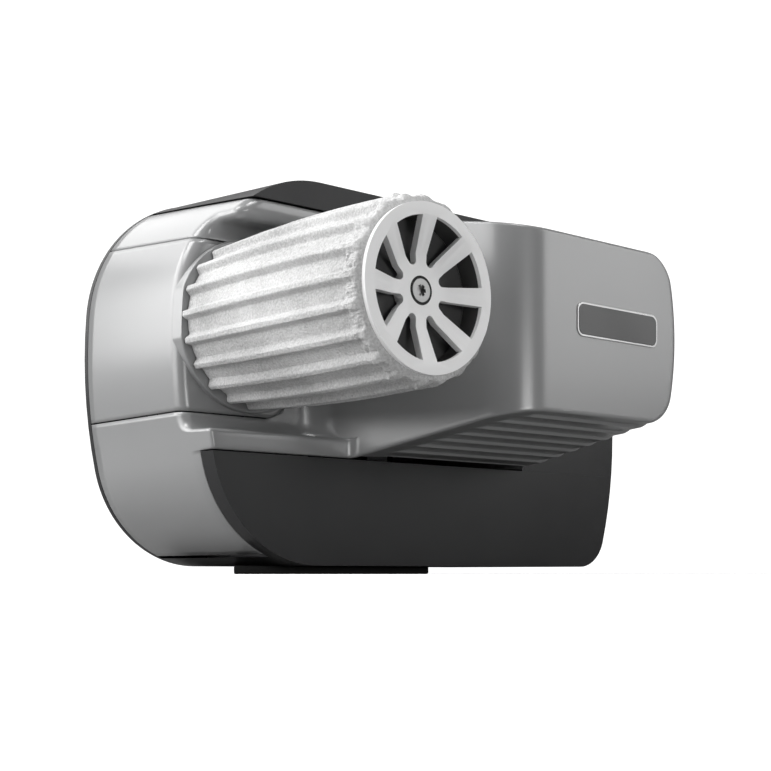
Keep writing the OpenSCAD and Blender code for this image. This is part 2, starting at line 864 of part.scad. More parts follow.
module case_outer_view(grow = 0) {
    case_view(case_wall + grow);
    translate([motor_x, roller_z]) circle(motor_case_r + grow);
    for (p = lid_screw_at)
        translate(p) circle(m5_r + case_wall + grow);
}

module case_inner_view() {
    case_view(0);
    translate([motor_x, roller_z]) circle(pinion_cut_r);
}

carriage_bolt_at = [for (i = [-1, 1], k = [-1, 1])
    [idler_x + i * (idler_cut_r - cover_r), case_y + case_front_t + cover_r + k * cover_r / 2]];

module gear_case() {
    color("darkgray") difference() {
        union() {
            along_y(case_y, case_back) case_outer_view();
            for (i = [-1, 1])
                box(idler_x + i * (idler_cut_r - cover_r) - cover_r / 2,
                    idler_x + i * (idler_cut_r - cover_r) + cover_r / 2,
                    case_y + case_front_t, case_back, carriage_top, roller_z - idler_cut_r / 2);
        }
        along_y(case_y + case_front_t, case_back + cut) case_inner_view();
        bar_y(roller_x, roller_z, case_y - cut, case_y + case_front_t + cut, bearing_front_r + fix_gap);
        bar_y(idler_x, roller_z, case_y + case_front_t / 2, case_back, idler_pin_r + fix_gap);
        bar_y(motor_x, roller_z, case_y - cut, case_y + case_front_t + cut, motor_bearing_r + fix_gap);
        for (s = [-1, 1])
            bar_y(motor_x, roller_z + s * motor_screw_r, case_y - cut, case_y + case_front_t + cut,
                m5_r + fix_gap);
        for (p = lid_screw_at)
            bar_y(p.x, p.y, case_back - lid_t, case_back + cut, m5_r + fix_gap);
        for (p = carriage_bolt_at)
            translate([p.x, p.y, carriage_top - cut]) cylinder(h = carriage_t + cut, r = m5_r + fix_gap);
    }
}

module lid_gasket() {
    color("black") along_y(case_back, lid_y) difference() {
        case_outer_view();
        case_inner_view();
        for (p = lid_screw_at)
            translate(p) circle(m5_r + fix_gap);
    }
}

module gear_lid() {
    color("darkgray") difference() {
        along_y(lid_y, lid_back) case_outer_view();
        bar_y(roller_x, roller_z, lid_y - cut, lid_back + cut, bearing_rear_r + fix_gap);
        bar_y(idler_x, roller_z, lid_y - cut, lid_y + lid_t / 2, idler_pin_r + fix_gap);
        for (p = lid_screw_at)
            bar_y(p.x, p.y, lid_y - cut, lid_back + cut, m5_r + fix_gap);
    }
}

module lid_screws() {
    color("silver") for (p = lid_screw_at)
        screw_y(p.x, p.y, lid_back, lid_t + gasket_t + lid_t);
}

module front_bearing() {
    color("silver")
        ring_y(roller_x, roller_z, case_y, case_y + case_front_t, bearing_front_r, shaft_r + run_gap);
}

module rear_bearing() {
    color("silver") ring_y(roller_x, roller_z, lid_y, lid_back, bearing_rear_r, shaft_r + run_gap);
}

module shaft_seal() {
    color("black") ring_y(roller_x, roller_z, recess_y, case_y, seal_r, shaft_r + run_gap);
}

module idler_pin() {
    color("silver") bar_y(idler_x, roller_z, case_y + case_front_t / 2, lid_y + lid_t / 2, idler_pin_r);
}

module idler_bush() {
    color("goldenrod")
        ring_y(idler_x, roller_z, gear_y, gear_y + gear_w, idler_pin_r + bush_wall, idler_pin_r + run_gap);
}

motor_screw_r = motor_bearing_r + m5_head_r + 2 * case_wall;

module motor_can() {
    color("gray") ring_y(motor_x, roller_z, motor_front + cap_t, bell_y, motor_r, motor_r - can_wall);
}

module motor_end_cap() {
    color("gray") difference() {
        bar_y(motor_x, roller_z, motor_front, motor_front + cap_t, motor_r);
        bar_y(motor_x, roller_z, motor_front + cap_t / 2, motor_front + cap_t + cut, motor_shaft_r + run_gap);
    }
}

module motor_end_bell() {
    color("gray") difference() {
        bar_y(motor_x, roller_z, bell_y, case_y, motor_r);
        bar_y(motor_x, roller_z, bell_y - cut, case_y + cut, motor_shaft_r + bush_wall);
        for (s = [-1, 1])
            bar_y(motor_x, roller_z + s * motor_screw_r, bell_y - cut, case_y + cut, m5_r + fix_gap);
    }
}

module motor_bearing() {
    color("silver")
        ring_y(motor_x, roller_z, case_y, case_y + case_front_t, motor_bearing_r, motor_shaft_r + run_gap);
}

module motor_screws() {
    color("silver") for (s = [-1, 1])
        screw_y(motor_x, roller_z + s * motor_screw_r, case_y + case_front_t, case_front_t + bell_t);
}

module carriage() {
    color("gray") difference() {
        union() {
            box(leg_right, lug_2_x + lug_len, -bracket_half, bracket_half, carriage_z, carriage_top);
            for (x = [lug_1_x, lug_2_x], s = [-1, 1])
                box(x, x + lug_len, s * rod_y - lug_w / 2, s * rod_y + lug_w / 2, lug_low_z, carriage_z + cut);
        }
        for (x = [lug_1_x, lug_2_x], s = [-1, 1])
            bar_x(s * rod_y, rod_z, x - cut, x + lug_len + cut, lug_bore_r);
        for (p = carriage_bolt_at)
            translate([p.x, p.y, carriage_z - cut]) cylinder(h = carriage_t + 2 * cut, r = m5_r + fix_gap);
    }
}

module slide_bushes() {
    color("goldenrod") for (x = [lug_1_x, lug_2_x], s = [-1, 1])
        ring_x(s * rod_y, rod_z, x, x + lug_len, lug_bore_r - fix_gap, rod_r + run_gap);
}

module spindle_nut() {
    color("goldenrod") difference() {
        box(nut_x, nut_x + nut_len, -nut_w / 2, nut_w / 2, rod_z - nut_w / 2, carriage_z);
        bar_x(0, rod_z, nut_x - cut, nut_x + nut_len + cut, spindle_r + run_gap);
    }
}

module carriage_bolts() {
    color("silver") for (p = carriage_bolt_at)
        screw_z(p.x, p.y, carriage_z, carriage_t + carriage_t);
}

// The roller is thickest in its middle, so that its straight flutes are deepest there
module roller() {
    middle_y = (roller_front + roller_end) / 2;
    color("gainsboro") difference() {
        translate([roller_x, 0, roller_z]) rotate([-90, 0, 0]) rotate_extrude() polygon([
            [roller_in, roller_front],
            [roller_r - crown - rim_chamfer, roller_front],
            [roller_r - crown, roller_front + rim_chamfer],
            [roller_r, middle_y],
            [roller_r - crown, roller_end],
            [shaft_r + fix_gap, roller_end],
            [shaft_r + fix_gap, roller_end - web_t],
            [roller_in, roller_end - web_t]]);
        for (i = [0 : flutes - 1])
            translate([roller_x, 0, roller_z]) rotate([0, flute_turn + i * 360 / flutes, 0])
                translate([roller_r - flute_d + flute_r, roller_front + rim_len + flute_r, 0]) {
                    rotate([-90, 0, 0]) cylinder(h = far, r = flute_r);
                    sphere(flute_r);
                }
    }
}

// Side of a window at a distance along the spoke next to it, where the spoke has a given width
function window_side(r, w) = let (a = 180 / spokes) [r * cos(a) + w / 2 * sin(a), r * sin(a) - w / 2 * cos(a)];

// The windows between the spokes, with rounded inner ends
module cap_windows() {
    near = window_side(hub_r, spoke_in_w);
    wide = window_side(ring_in, spoke_w);
    slope = (wide.y - near.y) / (wide.x - near.x);
    tip_x = near.x - near.y / slope;
    intersection() {
        circle(ring_in);
        for (i = [0 : spokes - 1])
            rotate((i + 0.5) * 360 / spokes) polygon(rounded([
                [tip_x, 0, window_r],
                [tip_x + 2 * ring_r, -2 * ring_r * slope, 0],
                [tip_x + 2 * ring_r, 2 * ring_r * slope, 0]]));
    }
}

module hub_cap() {
    color("gainsboro") translate([roller_x, 0, roller_z]) difference() {
        rotate([-90, 0, 0]) rotate_extrude() polygon([
            [0, hub_y],
            [hub_r, hub_y],
            [ring_in, cap_y],
            [ring_r, cap_y],
            [ring_r, roller_front],
            [ring_in, roller_front],
            [ring_in, cap_y + spoke_t],
            [hub_r, hub_y + spoke_t],
            [shaft_r, hub_y + spoke_t],
            [shaft_r, hub_back],
            [0, hub_back]]);
        along_y(cap_y - cut, hub_back + cut) cap_windows();
        bar_y(0, 0, hub_y - cut, hub_y + screw_seat, screw_head_r + seat_gap);
        bar_y(0, 0, hub_y - cut, hub_back + cut, screw_r + fix_gap);
    }
}

module roller_end_plate() {
    color("gray")
        ring_y(roller_x, roller_z, hub_back, hub_back + end_plate_t, roller_in - fix_gap, shaft_r + fix_gap);
}

module hub_screw() {
    color("silver") translate([roller_x, 0, roller_z]) difference() {
        union() {
            bar_y(0, 0, hub_y + screw_seat - screw_head_h, hub_y + screw_seat, screw_head_r);
            bar_y(0, 0, hub_y + screw_seat - cut, hub_back + screw_len, screw_r);
        }
        for (i = [0 : 2])
            rotate([0, i * 60, 0])
                box(-drive_r, drive_r, hub_y + screw_seat - screw_head_h - cut,
                    hub_y + screw_seat - screw_head_h / 2, -drive_r / 3, drive_r / 3);
    }
}

module key_cut(gap) {
    box(roller_x - key_w / 2 - gap, roller_x + key_w / 2 + gap, gear_y - gap, gear_y + gear_w + gap,
        roller_z + shaft_r - key_w / 2 - gap, roller_z + shaft_r + key_w / 2 + gap);
}

module roller_shaft() {
    color("silver") difference() {
        bar_y(roller_x, roller_z, hub_back, lid_back, shaft_r);
        bar_y(roller_x, roller_z, hub_back - cut, hub_back + screw_len + cut, screw_r + fix_gap);
        key_cut(fix_gap);
    }
}

module shaft_key() {
    color("silver") key_cut(0);
}

module drive_gear(x, teeth, bore_r, turn) {
    translate([x, 0, roller_z]) along_y(gear_y, gear_y + gear_w) difference() {
        polygon(gear_points(teeth, gear_m, turn));
        circle(bore_r);
    }
}

module final_gear() {
    color("silver") difference() {
        drive_gear(roller_x, final_teeth, shaft_r + fix_gap, 0);
        key_cut(fix_gap);
    }
}

module idler_gear() {
    color("silver") drive_gear(idler_x, idler_teeth, idler_pin_r + bush_wall + fix_gap, 180 / idler_teeth);
}

module motor_pinion() {
    color("silver") drive_gear(motor_x, pinion_teeth, motor_shaft_r + fix_gap, 0);
}

module motor_shaft() {
    color("silver") bar_y(motor_x, roller_z, motor_front + cap_t / 2 + cut / 2, gear_y + gear_w, motor_shaft_r);
}

module motor_armature() {
    color("peru") ring_y(motor_x, roller_z, motor_front + cap_t + armature_gap, bell_y - armature_gap,
        armature_r, motor_shaft_r + fix_gap);
}

module spindle() {
    color("silver") union() {
        bar_x(0, rod_z, bracket_x, bay_x + bracket_t + eng_len / 2, spindle_r);
        translate([bay_x + bracket_t + eng_len / 2 - cut, 0, rod_z]) rotate([0, 90, 0])
            cylinder(h = right_x - 3 * cover_wall - bay_x - bracket_t - eng_len / 2 + cut,
                r = hex_af / sqrt(3), $fn = 6);
    }
}

module engage_gear(z, teeth, bore_r, turn) {
    translate([eng_gear_x, 0, z]) rotate([90, 0, 90]) linear_extrude(eng_w) difference() {
        polygon(gear_points(teeth, eng_m, turn));
        circle(bore_r);
    }
}

module spindle_gear() {
    color("ivory") engage_gear(rod_z, spindle_teeth, spindle_r + fix_gap, 90);
}

module engage_pinion() {
    color("silver") engage_gear(eng_z, eng_teeth, eng_shaft_r + fix_gap, -90 + 180 / eng_teeth);
}

module engage_shaft() {
    color("silver") bar_x(0, eng_z, eng_gear_x, bay_x + bracket_t + eng_len / 2 - cut, eng_shaft_r);
}

rear_plate();
front_panel();
bottom_pan();
top_cover();
end_cover();
foot();
rod_bracket();
end_bracket();
guide_rods();
spindle_bushes();
engage_motor();
cable_gland();
gland_nut();
pan_screws();
upper_shell();
gearbox_cover();
lower_shell();
motor_housing();
gear_case();
lid_gasket();
gear_lid();
lid_screws();
front_bearing();
rear_bearing();
shaft_seal();
idler_pin();
motor_can();
motor_end_cap();
motor_end_bell();
motor_bearing();
motor_screws();
carriage();
slide_bushes();
spindle_nut();
carriage_bolts();
roller();
hub_cap();
roller_end_plate();
hub_screw();
roller_shaft();
shaft_key();
final_gear();
idler_gear();
idler_bush();
motor_shaft();
motor_armature();
motor_pinion();
spindle();
spindle_gear();
engage_pinion();
engage_shaft();
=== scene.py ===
"""Caravan motor mover, one side's drive unit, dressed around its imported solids.

Lengths are written in millimetres and become metres when a mesh is made. X runs away from the tyre, Y
from the roller's free end towards the chassis, and Z up. The foot stands on the floor at Z 0.
"""
import json
import math

import bmesh
import bpy
import numpy as np
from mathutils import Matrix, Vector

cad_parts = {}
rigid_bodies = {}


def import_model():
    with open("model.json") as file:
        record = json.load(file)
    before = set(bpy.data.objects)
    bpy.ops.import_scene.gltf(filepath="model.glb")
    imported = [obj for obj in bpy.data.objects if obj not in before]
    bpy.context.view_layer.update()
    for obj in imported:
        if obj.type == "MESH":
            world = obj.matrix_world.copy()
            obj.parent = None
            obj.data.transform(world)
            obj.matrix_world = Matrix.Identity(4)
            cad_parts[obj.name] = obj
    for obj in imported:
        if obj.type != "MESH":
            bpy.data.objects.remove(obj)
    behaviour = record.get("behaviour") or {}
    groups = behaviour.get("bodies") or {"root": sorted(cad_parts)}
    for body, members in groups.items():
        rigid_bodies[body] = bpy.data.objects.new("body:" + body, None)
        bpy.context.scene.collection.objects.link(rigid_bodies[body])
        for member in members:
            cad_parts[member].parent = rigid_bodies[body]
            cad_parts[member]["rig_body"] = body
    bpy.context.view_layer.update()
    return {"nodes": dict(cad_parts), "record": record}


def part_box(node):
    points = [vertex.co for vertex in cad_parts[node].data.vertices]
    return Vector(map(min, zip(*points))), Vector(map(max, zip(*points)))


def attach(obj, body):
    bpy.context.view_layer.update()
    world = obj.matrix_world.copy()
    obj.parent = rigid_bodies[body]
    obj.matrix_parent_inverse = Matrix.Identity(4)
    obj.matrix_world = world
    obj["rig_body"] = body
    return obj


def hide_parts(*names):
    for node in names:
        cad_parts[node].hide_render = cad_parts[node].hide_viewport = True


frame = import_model()

# Studio: a pale floor in a white surround, with seven soft rectangular lamps. Three at the left light the
# bulged side, two hang above the back and the front, one stands low in front, and one at the right front
# lights the motor housing's face. The camera stands almost on the floor, on the tyre's side.
MM = 0.001
LENS_MM = 67.2
SENSOR_MM = 36.0
CAMERA_AT = (-454.2, -580.7, 0.4)
CAMERA_YAW = 41.44
CAMERA_SHIFT = 0.2436
CLIP_NEAR, CLIP_FAR = 0.01, 100.0
FLOOR_HALF = 6000.0
FLOOR_BOUNCE, FLOOR_SEEN, FLOOR_GLOW = 0.28, 0.93, 0.4
SURROUND_LIGHT, BACKDROP_LIGHT = 0.08, 1.2


def new_object(name, data):
    """Links a mesh, a camera or a lamp as an object at the origin."""
    made = bpy.data.objects.new(name, data)
    bpy.context.scene.collection.objects.link(made)
    return made


camera = bpy.data.cameras.new("camera")
camera.sensor_fit = "HORIZONTAL"
camera.sensor_width = SENSOR_MM
camera.lens = LENS_MM
camera.shift_y = CAMERA_SHIFT
camera.clip_start = CLIP_NEAR
camera.clip_end = CLIP_FAR
camera_object = new_object("camera", camera)
camera_object.location = [c * MM for c in CAMERA_AT]
camera_object.rotation_euler = (math.radians(90), 0, math.radians(-CAMERA_YAW))
bpy.context.scene.camera = camera_object
bpy.context.scene.view_settings.view_transform = "Standard"

corner = FLOOR_HALF * MM
floor_mesh = bpy.data.meshes.new("floor")
floor_mesh.from_pydata(
    [(-corner, -corner, 0), (corner, -corner, 0), (corner, corner, 0), (-corner, corner, 0)],
    [], [(0, 1, 2, 3)])
floor = new_object("floor", floor_mesh)
floor_paint = bpy.data.materials.new("floor_paint")
floor_paint.use_nodes = True
floor_shader = floor_paint.node_tree.nodes["Principled BSDF"]
# The camera sees a paler floor than the part reflects, so that the floor runs into the surround
floor_seen = floor_paint.node_tree.nodes.new("ShaderNodeLightPath")
floor_shade = floor_paint.node_tree.nodes.new("ShaderNodeMix")
floor_shade.data_type = "RGBA"
floor_shade.inputs["A"].default_value = (FLOOR_BOUNCE, FLOOR_BOUNCE, FLOOR_BOUNCE, 1)
floor_shade.inputs["B"].default_value = (FLOOR_SEEN, FLOOR_SEEN, FLOOR_SEEN, 1)
floor_paint.node_tree.links.new(floor_seen.outputs["Is Camera Ray"], floor_shade.inputs["Factor"])
floor_paint.node_tree.links.new(floor_shade.outputs["Result"], floor_shader.inputs["Base Color"])
floor_shader.inputs["Roughness"].default_value = 1.0
floor_shader.inputs["Emission Color"].default_value = (1, 1, 1, 1)
floor_glow = floor_paint.node_tree.nodes.new("ShaderNodeMath")
floor_glow.operation = "MULTIPLY"
floor_glow.inputs[1].default_value = FLOOR_GLOW
floor_paint.node_tree.links.new(floor_seen.outputs["Is Camera Ray"], floor_glow.inputs[0])
floor_paint.node_tree.links.new(floor_glow.outputs["Value"], floor_shader.inputs["Emission Strength"])
floor_shader.inputs["Specular IOR Level"].default_value = 0.0
floor_mesh.materials.append(floor_paint)


def soft_light(name, place, target, width, height, watts):
    """A rectangular lamp at a place, turned to face a target; lengths in millimetres."""
    lamp = bpy.data.lights.new(name, "AREA")
    lamp.shape = "RECTANGLE"
    lamp.size = width * MM
    lamp.size_y = height * MM
    lamp.energy = watts
    made = new_object(name, lamp)
    made.location = [c * MM for c in place]
    aim = np.array(target, float) - np.array(place, float)
    flat = math.hypot(aim[0], aim[1])
    made.rotation_euler = (math.atan2(flat, -aim[2]), 0, math.atan2(-aim[0], aim[1]))


soft_light("light_left", (-1000, 0, 350), (-40, -30, 110), 700, 600, 5.3)
soft_light("light_left_back", (-650, 480, 480), (-60, 0, 110), 600, 600, 5.6)
soft_light("light_top_left", (-600, 60, 1000), (-40, -30, 110), 500, 500, 6.8)
soft_light("light_top_back", (-100, 700, 900), (0, 0, 110), 900, 600, 3.0)
soft_light("light_top_front", (0, -420, 1100), (20, -100, 130), 300, 300, 3.2)
soft_light("light_low_front", (-150, -1300, 120), (0, -80, 85), 420, 200, 2.9)
soft_light("light_right_front", (800, -900, 500), (60, -60, 110), 600, 600, 3.4)

world = bpy.data.worlds.new("surround")
bpy.context.scene.world = world
world.use_nodes = True
world_nodes = world.node_tree.nodes
world_links = world.node_tree.links
surround = world_nodes["Background"]
surround.inputs["Color"].default_value = (1, 1, 1, 1)
surround.inputs["Strength"].default_value = SURROUND_LIGHT
backdrop = world_nodes.new("ShaderNodeBackground")
backdrop.inputs["Color"].default_value = (1, 1, 1, 1)
backdrop.inputs["Strength"].default_value = BACKDROP_LIGHT
seen = world_nodes.new("ShaderNodeLightPath")
either = world_nodes.new("ShaderNodeMixShader")
world_links.new(seen.outputs["Is Camera Ray"], either.inputs["Fac"])
world_links.new(surround.outputs["Background"], either.inputs[1])
world_links.new(backdrop.outputs["Background"], either.inputs[2])
world_links.new(either.outputs["Shader"], world_nodes["World Output"].inputs["Surface"])

# Rear plate: a flat steel plate, laser cut to the unit's outline and bolted to the chassis through four
# holes. It is powder coated black, which leaves a fine orange peel and softened edges.
FINE_DETAIL, BROAD_DETAIL, BROAD_SCALE = 3.0, 2.0, 28.0
COAT_ROUGHNESS = 0.22
SAME_POINT, FLAT_ANGLE = 2e-6, 0.4


def moulded_grain():
    """Node group: two sizes of noise on Object coordinates, put out as a shade, a roughness and a height.
    The sum of both less one swings round 0, and the height is the fine noise alone."""
    group = bpy.data.node_groups.new("moulded_grain", "ShaderNodeTree")
    defaults = {"Grain Size": 1.0, "Shade Spread": 0.1, "Roughness": 0.4, "Roughness Spread": 0.1}
    for socket, default in defaults.items():
        made = group.interface.new_socket(socket, in_out="INPUT", socket_type="NodeSocketFloat")
        made.default_value = default
    for socket in ("Shade", "Roughness", "Height"):
        group.interface.new_socket(socket, in_out="OUTPUT", socket_type="NodeSocketFloat")
    nodes, links = group.nodes, group.links
    into = nodes.new("NodeGroupInput")
    out = nodes.new("NodeGroupOutput")
    place = nodes.new("ShaderNodeTexCoord")
    per_metre = nodes.new("ShaderNodeMath")
    per_metre.operation = "DIVIDE"
    per_metre.inputs[0].default_value = 1 / MM
    links.new(into.outputs["Grain Size"], per_metre.inputs[1])
    fine = nodes.new("ShaderNodeTexNoise")
    fine.inputs["Detail"].default_value = FINE_DETAIL
    links.new(place.outputs["Object"], fine.inputs["Vector"])
    links.new(per_metre.outputs["Value"], fine.inputs["Scale"])
    broad = nodes.new("ShaderNodeTexNoise")
    broad.inputs["Scale"].default_value = BROAD_SCALE
    broad.inputs["Detail"].default_value = BROAD_DETAIL
    links.new(place.outputs["Object"], broad.inputs["Vector"])
    blend = nodes.new("ShaderNodeMath")
    blend.operation = "ADD"
    links.new(fine.outputs["Fac"], blend.inputs[0])
    links.new(broad.outputs["Fac"], blend.inputs[1])
    around = nodes.new("ShaderNodeMath")
    around.operation = "SUBTRACT"
    around.inputs[1].default_value = 1.0
    links.new(blend.outputs["Value"], around.inputs[0])
    shade = nodes.new("ShaderNodeMath")
    shade.operation = "MULTIPLY_ADD"
    shade.inputs[2].default_value = 0.5
    links.new(around.outputs["Value"], shade.inputs[0])
    links.new(into.outputs["Shade Spread"], shade.inputs[1])
    links.new(shade.outputs["Value"], out.inputs["Shade"])
    rough = nodes.new("ShaderNodeMath")
    rough.operation = "MULTIPLY_ADD"
    links.new(around.outputs["Value"], rough.inputs[0])
    links.new(into.outputs["Roughness Spread"], rough.inputs[1])
    links.new(into.outputs["Roughness"], rough.inputs[2])
    links.new(rough.outputs["Value"], out.inputs["Roughness"])
    links.new(fine.outputs["Fac"], out.inputs["Height"])
    return group


grain_group = moulded_grain()


def finish(name, dark, light, roughness, grain, depth,
           metallic=0.0, spread=0.5, rough_spread=0.15, coat=0.0):
    """Material with a grain: colours dark to light, grain size and depth in millimetres."""
    made = bpy.data.materials.new(name)
    made.use_nodes = True
    nodes, links = made.node_tree.nodes, made.node_tree.links
    shader = nodes["Principled BSDF"]
    shader.inputs["Metallic"].default_value = metallic
    shader.inputs["Coat Weight"].default_value = coat
    shader.inputs["Coat Roughness"].default_value = COAT_ROUGHNESS
    texture = nodes.new("ShaderNodeGroup")
    texture.node_tree = grain_group
    texture.inputs["Grain Size"].default_value = grain
    texture.inputs["Shade Spread"].default_value = spread
    texture.inputs["Roughness"].default_value = roughness
    texture.inputs["Roughness Spread"].default_value = rough_spread
    colour = nodes.new("ShaderNodeMix")
    colour.data_type = "RGBA"
    colour.inputs["A"].default_value = (*dark, 1)
    colour.inputs["B"].default_value = (*light, 1)
    links.new(texture.outputs["Shade"], colour.inputs["Factor"])
    links.new(colour.outputs["Result"], shader.inputs["Base Color"])
    links.new(texture.outputs["Roughness"], shader.inputs["Roughness"])
    bump = nodes.new("ShaderNodeBump")
    bump.inputs["Strength"].default_value = 1.0
    bump.inputs["Distance"].default_value = depth * MM
    links.new(texture.outputs["Height"], bump.inputs["Height"])
    links.new(bump.outputs["Normal"], shader.inputs["Normal"])
    return made


def softened(node, material, width, segments=3, limit=30.0):
    """Copy of a solid with its triangles joined, flat faces merged and sharp edges rounded by a width. It
    rides the solid's body and takes its place."""
    source = frame["nodes"][node]
    mesh = source.data.copy()
    work = bmesh.new()
    work.from_mesh(mesh)
    bmesh.ops.remove_doubles(work, verts=work.verts, dist=SAME_POINT)
    bmesh.ops.dissolve_limit(
        work, angle_limit=math.radians(FLAT_ANGLE), verts=work.verts, edges=work.edges)
    work.to_mesh(mesh)
    work.free()
    mesh.materials.clear()
    mesh.materials.append(material)
    mesh.shade_smooth()
    mesh.set_sharp_from_angle(angle=math.radians(limit))
    piece = new_object(node + "_piece", mesh)
    bevel = piece.modifiers.new("rounded_edges", "BEVEL")
    bevel.width = width * MM
    bevel.segments = segments
    bevel.limit_method = "ANGLE"
    bevel.angle_limit = math.radians(limit)
    bevel.harden_normals = True
    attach(piece, source["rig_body"])
    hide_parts(node)


black_powder = finish("black_powder", (0.012, 0.012, 0.013), (0.020, 0.020, 0.021), 0.42, 0.9, 0.02)
softened("rear_plate", black_powder, 0.6)

# Floor of the frame: a folded black pan with a glued rubber foot under it, which the unit stands on, and
# zinc screws that hold the front panel's lip. The foot's two ends are cut at a slant.
FOOT_SLANT, FOOT_EDGE = 43.0, 0.8
black_plastic = finish("black_plastic", (0.009, 0.009, 0.010), (0.014, 0.014, 0.015), 0.36, 0.5, 0.012)
black_rubber = finish("black_rubber", (0.010, 0.010, 0.010), (0.018, 0.018, 0.018), 0.75, 1.4, 0.05)
zinc = finish("zinc_plate", (0.52, 0.52, 0.51), (0.68, 0.68, 0.66), 0.28, 2.5, 0.01, metallic=1.0)
softened("bottom_pan", black_powder, 0.5)
foot_lo, foot_hi = (np.array(c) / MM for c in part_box("foot"))
foot_plan = [(foot_lo[0], foot_lo[1]), (foot_hi[0], foot_lo[1]),
             (foot_hi[0] - FOOT_SLANT, foot_hi[1]), (foot_lo[0] + FOOT_SLANT, foot_hi[1])]
foot_points = [(x * MM, y * MM, z * MM) for z in (foot_lo[2], foot_hi[2]) for x, y in foot_plan]
foot_sides = [(i, (i + 1) % 4, (i + 1) % 4 + 4, i + 4) for i in range(4)]
foot_mesh = bpy.data.meshes.new("foot_piece")
foot_mesh.from_pydata(foot_points, [], [(3, 2, 1, 0), (4, 5, 6, 7)] + foot_sides)
foot_mesh.materials.append(black_rubber)
foot = new_object("foot_piece", foot_mesh)
foot_edges = foot.modifiers.new("rounded_edges", "BEVEL")
foot_edges.width = FOOT_EDGE * MM
foot_edges.segments = 3
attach(foot, "frame")
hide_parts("foot")
softened("pan_screws", zinc, 0.4, segments=2)

# Slide and gear train: two ground guide rods and a spindle between milled brackets, turned by a small
# geared motor. The roller's gears are steel in a cast case, the bushes are sintered bronze and the
# spindle's gear is moulded plastic.
milled = finish("milled_aluminium", (0.46, 0.46, 0.47), (0.60, 0.60, 0.61),
                0.35, 0.6, 0.01, metallic=1.0)
ground_steel = finish("ground_steel", (0.50, 0.50, 0.50), (0.64, 0.64, 0.64),
                      0.22, 0.8, 0.004, metallic=1.0)
bronze = finish("sintered_bronze", (0.38, 0.25, 0.11), (0.55, 0.38, 0.18),
                0.45, 0.5, 0.02, metallic=1.0)
dark_steel = finish("dark_plated_steel", (0.08, 0.08, 0.085), (0.14, 0.14, 0.15),
                    0.4, 1.2, 0.01, metallic=0.8)
gear_steel = finish("gear_steel", (0.32, 0.32, 0.32), (0.46, 0.46, 0.46),
                    0.35, 0.8, 0.01, metallic=1.0)
gear_plastic = finish("gear_plastic", (0.66, 0.63, 0.54), (0.78, 0.75, 0.66), 0.5, 0.8, 0.01)
as_cast = finish("as_cast_aluminium", (0.40, 0.40, 0.41), (0.56, 0.56, 0.57),
                 0.5, 0.7, 0.05, metallic=0.9)
winding = finish("copper_winding", (0.42, 0.19, 0.09), (0.62, 0.30, 0.15),
                 0.35, 0.7, 0.04, metallic=0.9)
INNER_FINISH = {
    "bracket_aluminium": milled, "ground_steel": ground_steel, "bronze": bronze, "motor_steel": dark_steel,
    "gear_steel": gear_steel, "gear_plastic": gear_plastic, "cast_aluminium": as_cast,
    "copper_winding": winding, "zinc_steel": zinc, "black_rubber": black_rubber,
    "black_plastic": black_plastic, "black_steel": black_powder}


def painted(node, material):
    """Gives a solid that shows as it is the finish of its material."""
    mesh = frame["nodes"][node].data
    mesh.materials.clear()
    mesh.materials.append(material)


for part in frame["record"]["subparts"]:
    if part["material_slot"] in INNER_FINISH:
        painted(part["node"], INNER_FINISH[part["material_slot"]])

# Grey housing: the lower and the upper shell and the motor housing, die cast with a satin silver-grey
# lacquer and drawn as one skin. The left side is bulged like the frame, two ledges run to the motor
# housing that stands out in front, and every inner corner has a fillet.
rear_lo, rear_hi = (np.array(c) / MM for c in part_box("rear_plate"))
lower_lo, lower_hi = (np.array(c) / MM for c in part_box("lower_shell"))
motor_lo, motor_hi = (np.array(c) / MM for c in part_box("motor_housing"))
side_x, frame_low, frame_top = rear_lo[0], rear_lo[2], rear_hi[2]
front_y, back_y, leg_low = lower_lo[1], lower_hi[1], lower_lo[2]
nose_y, ledge_under, nose_right = motor_lo[1], motor_lo[2], motor_hi[0]
LEG_SET_BACK, RECESS_DEPTH = 10.1, 21.0
leg_front = front_y + LEG_SET_BACK
recess_y = front_y + RECESS_DEPTH
top_front, top_back = 171.0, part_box("upper_shell")[1][2] / MM
SIDE_R, LOW_R, SIDE_Z = 260.0, 60.0, 106.0
LEAST_SQUARE, LEAST_COSINE = 0.05, 0.6
ROOF_FRONT, ROOF_FRONT_R, ROOF_BACK_R = 184.5, 66.0, 71.0
SEAM_LOW, SEAM_HIGH, SEAM_RISE, SEAM_HALF = 74.0, 154.0, 7.0, 0.35
COVER_RIGHT, COVER_R = -31.0, 14.0
NOSE_LOW, NOSE_TOP = 74.0, 157.0
WALL_BACK_X, WALL_NOSE_X = -9.0, 15.0
NOSE_LEFT_R, NOSE_EDGE_R, FACE_CORNER_R, BARREL_R = 26.0, 4.0, 14.0, 127.0
UNIT_RIGHT = 108.8
ROLLER_AXIS = (-55.0, 115.75)


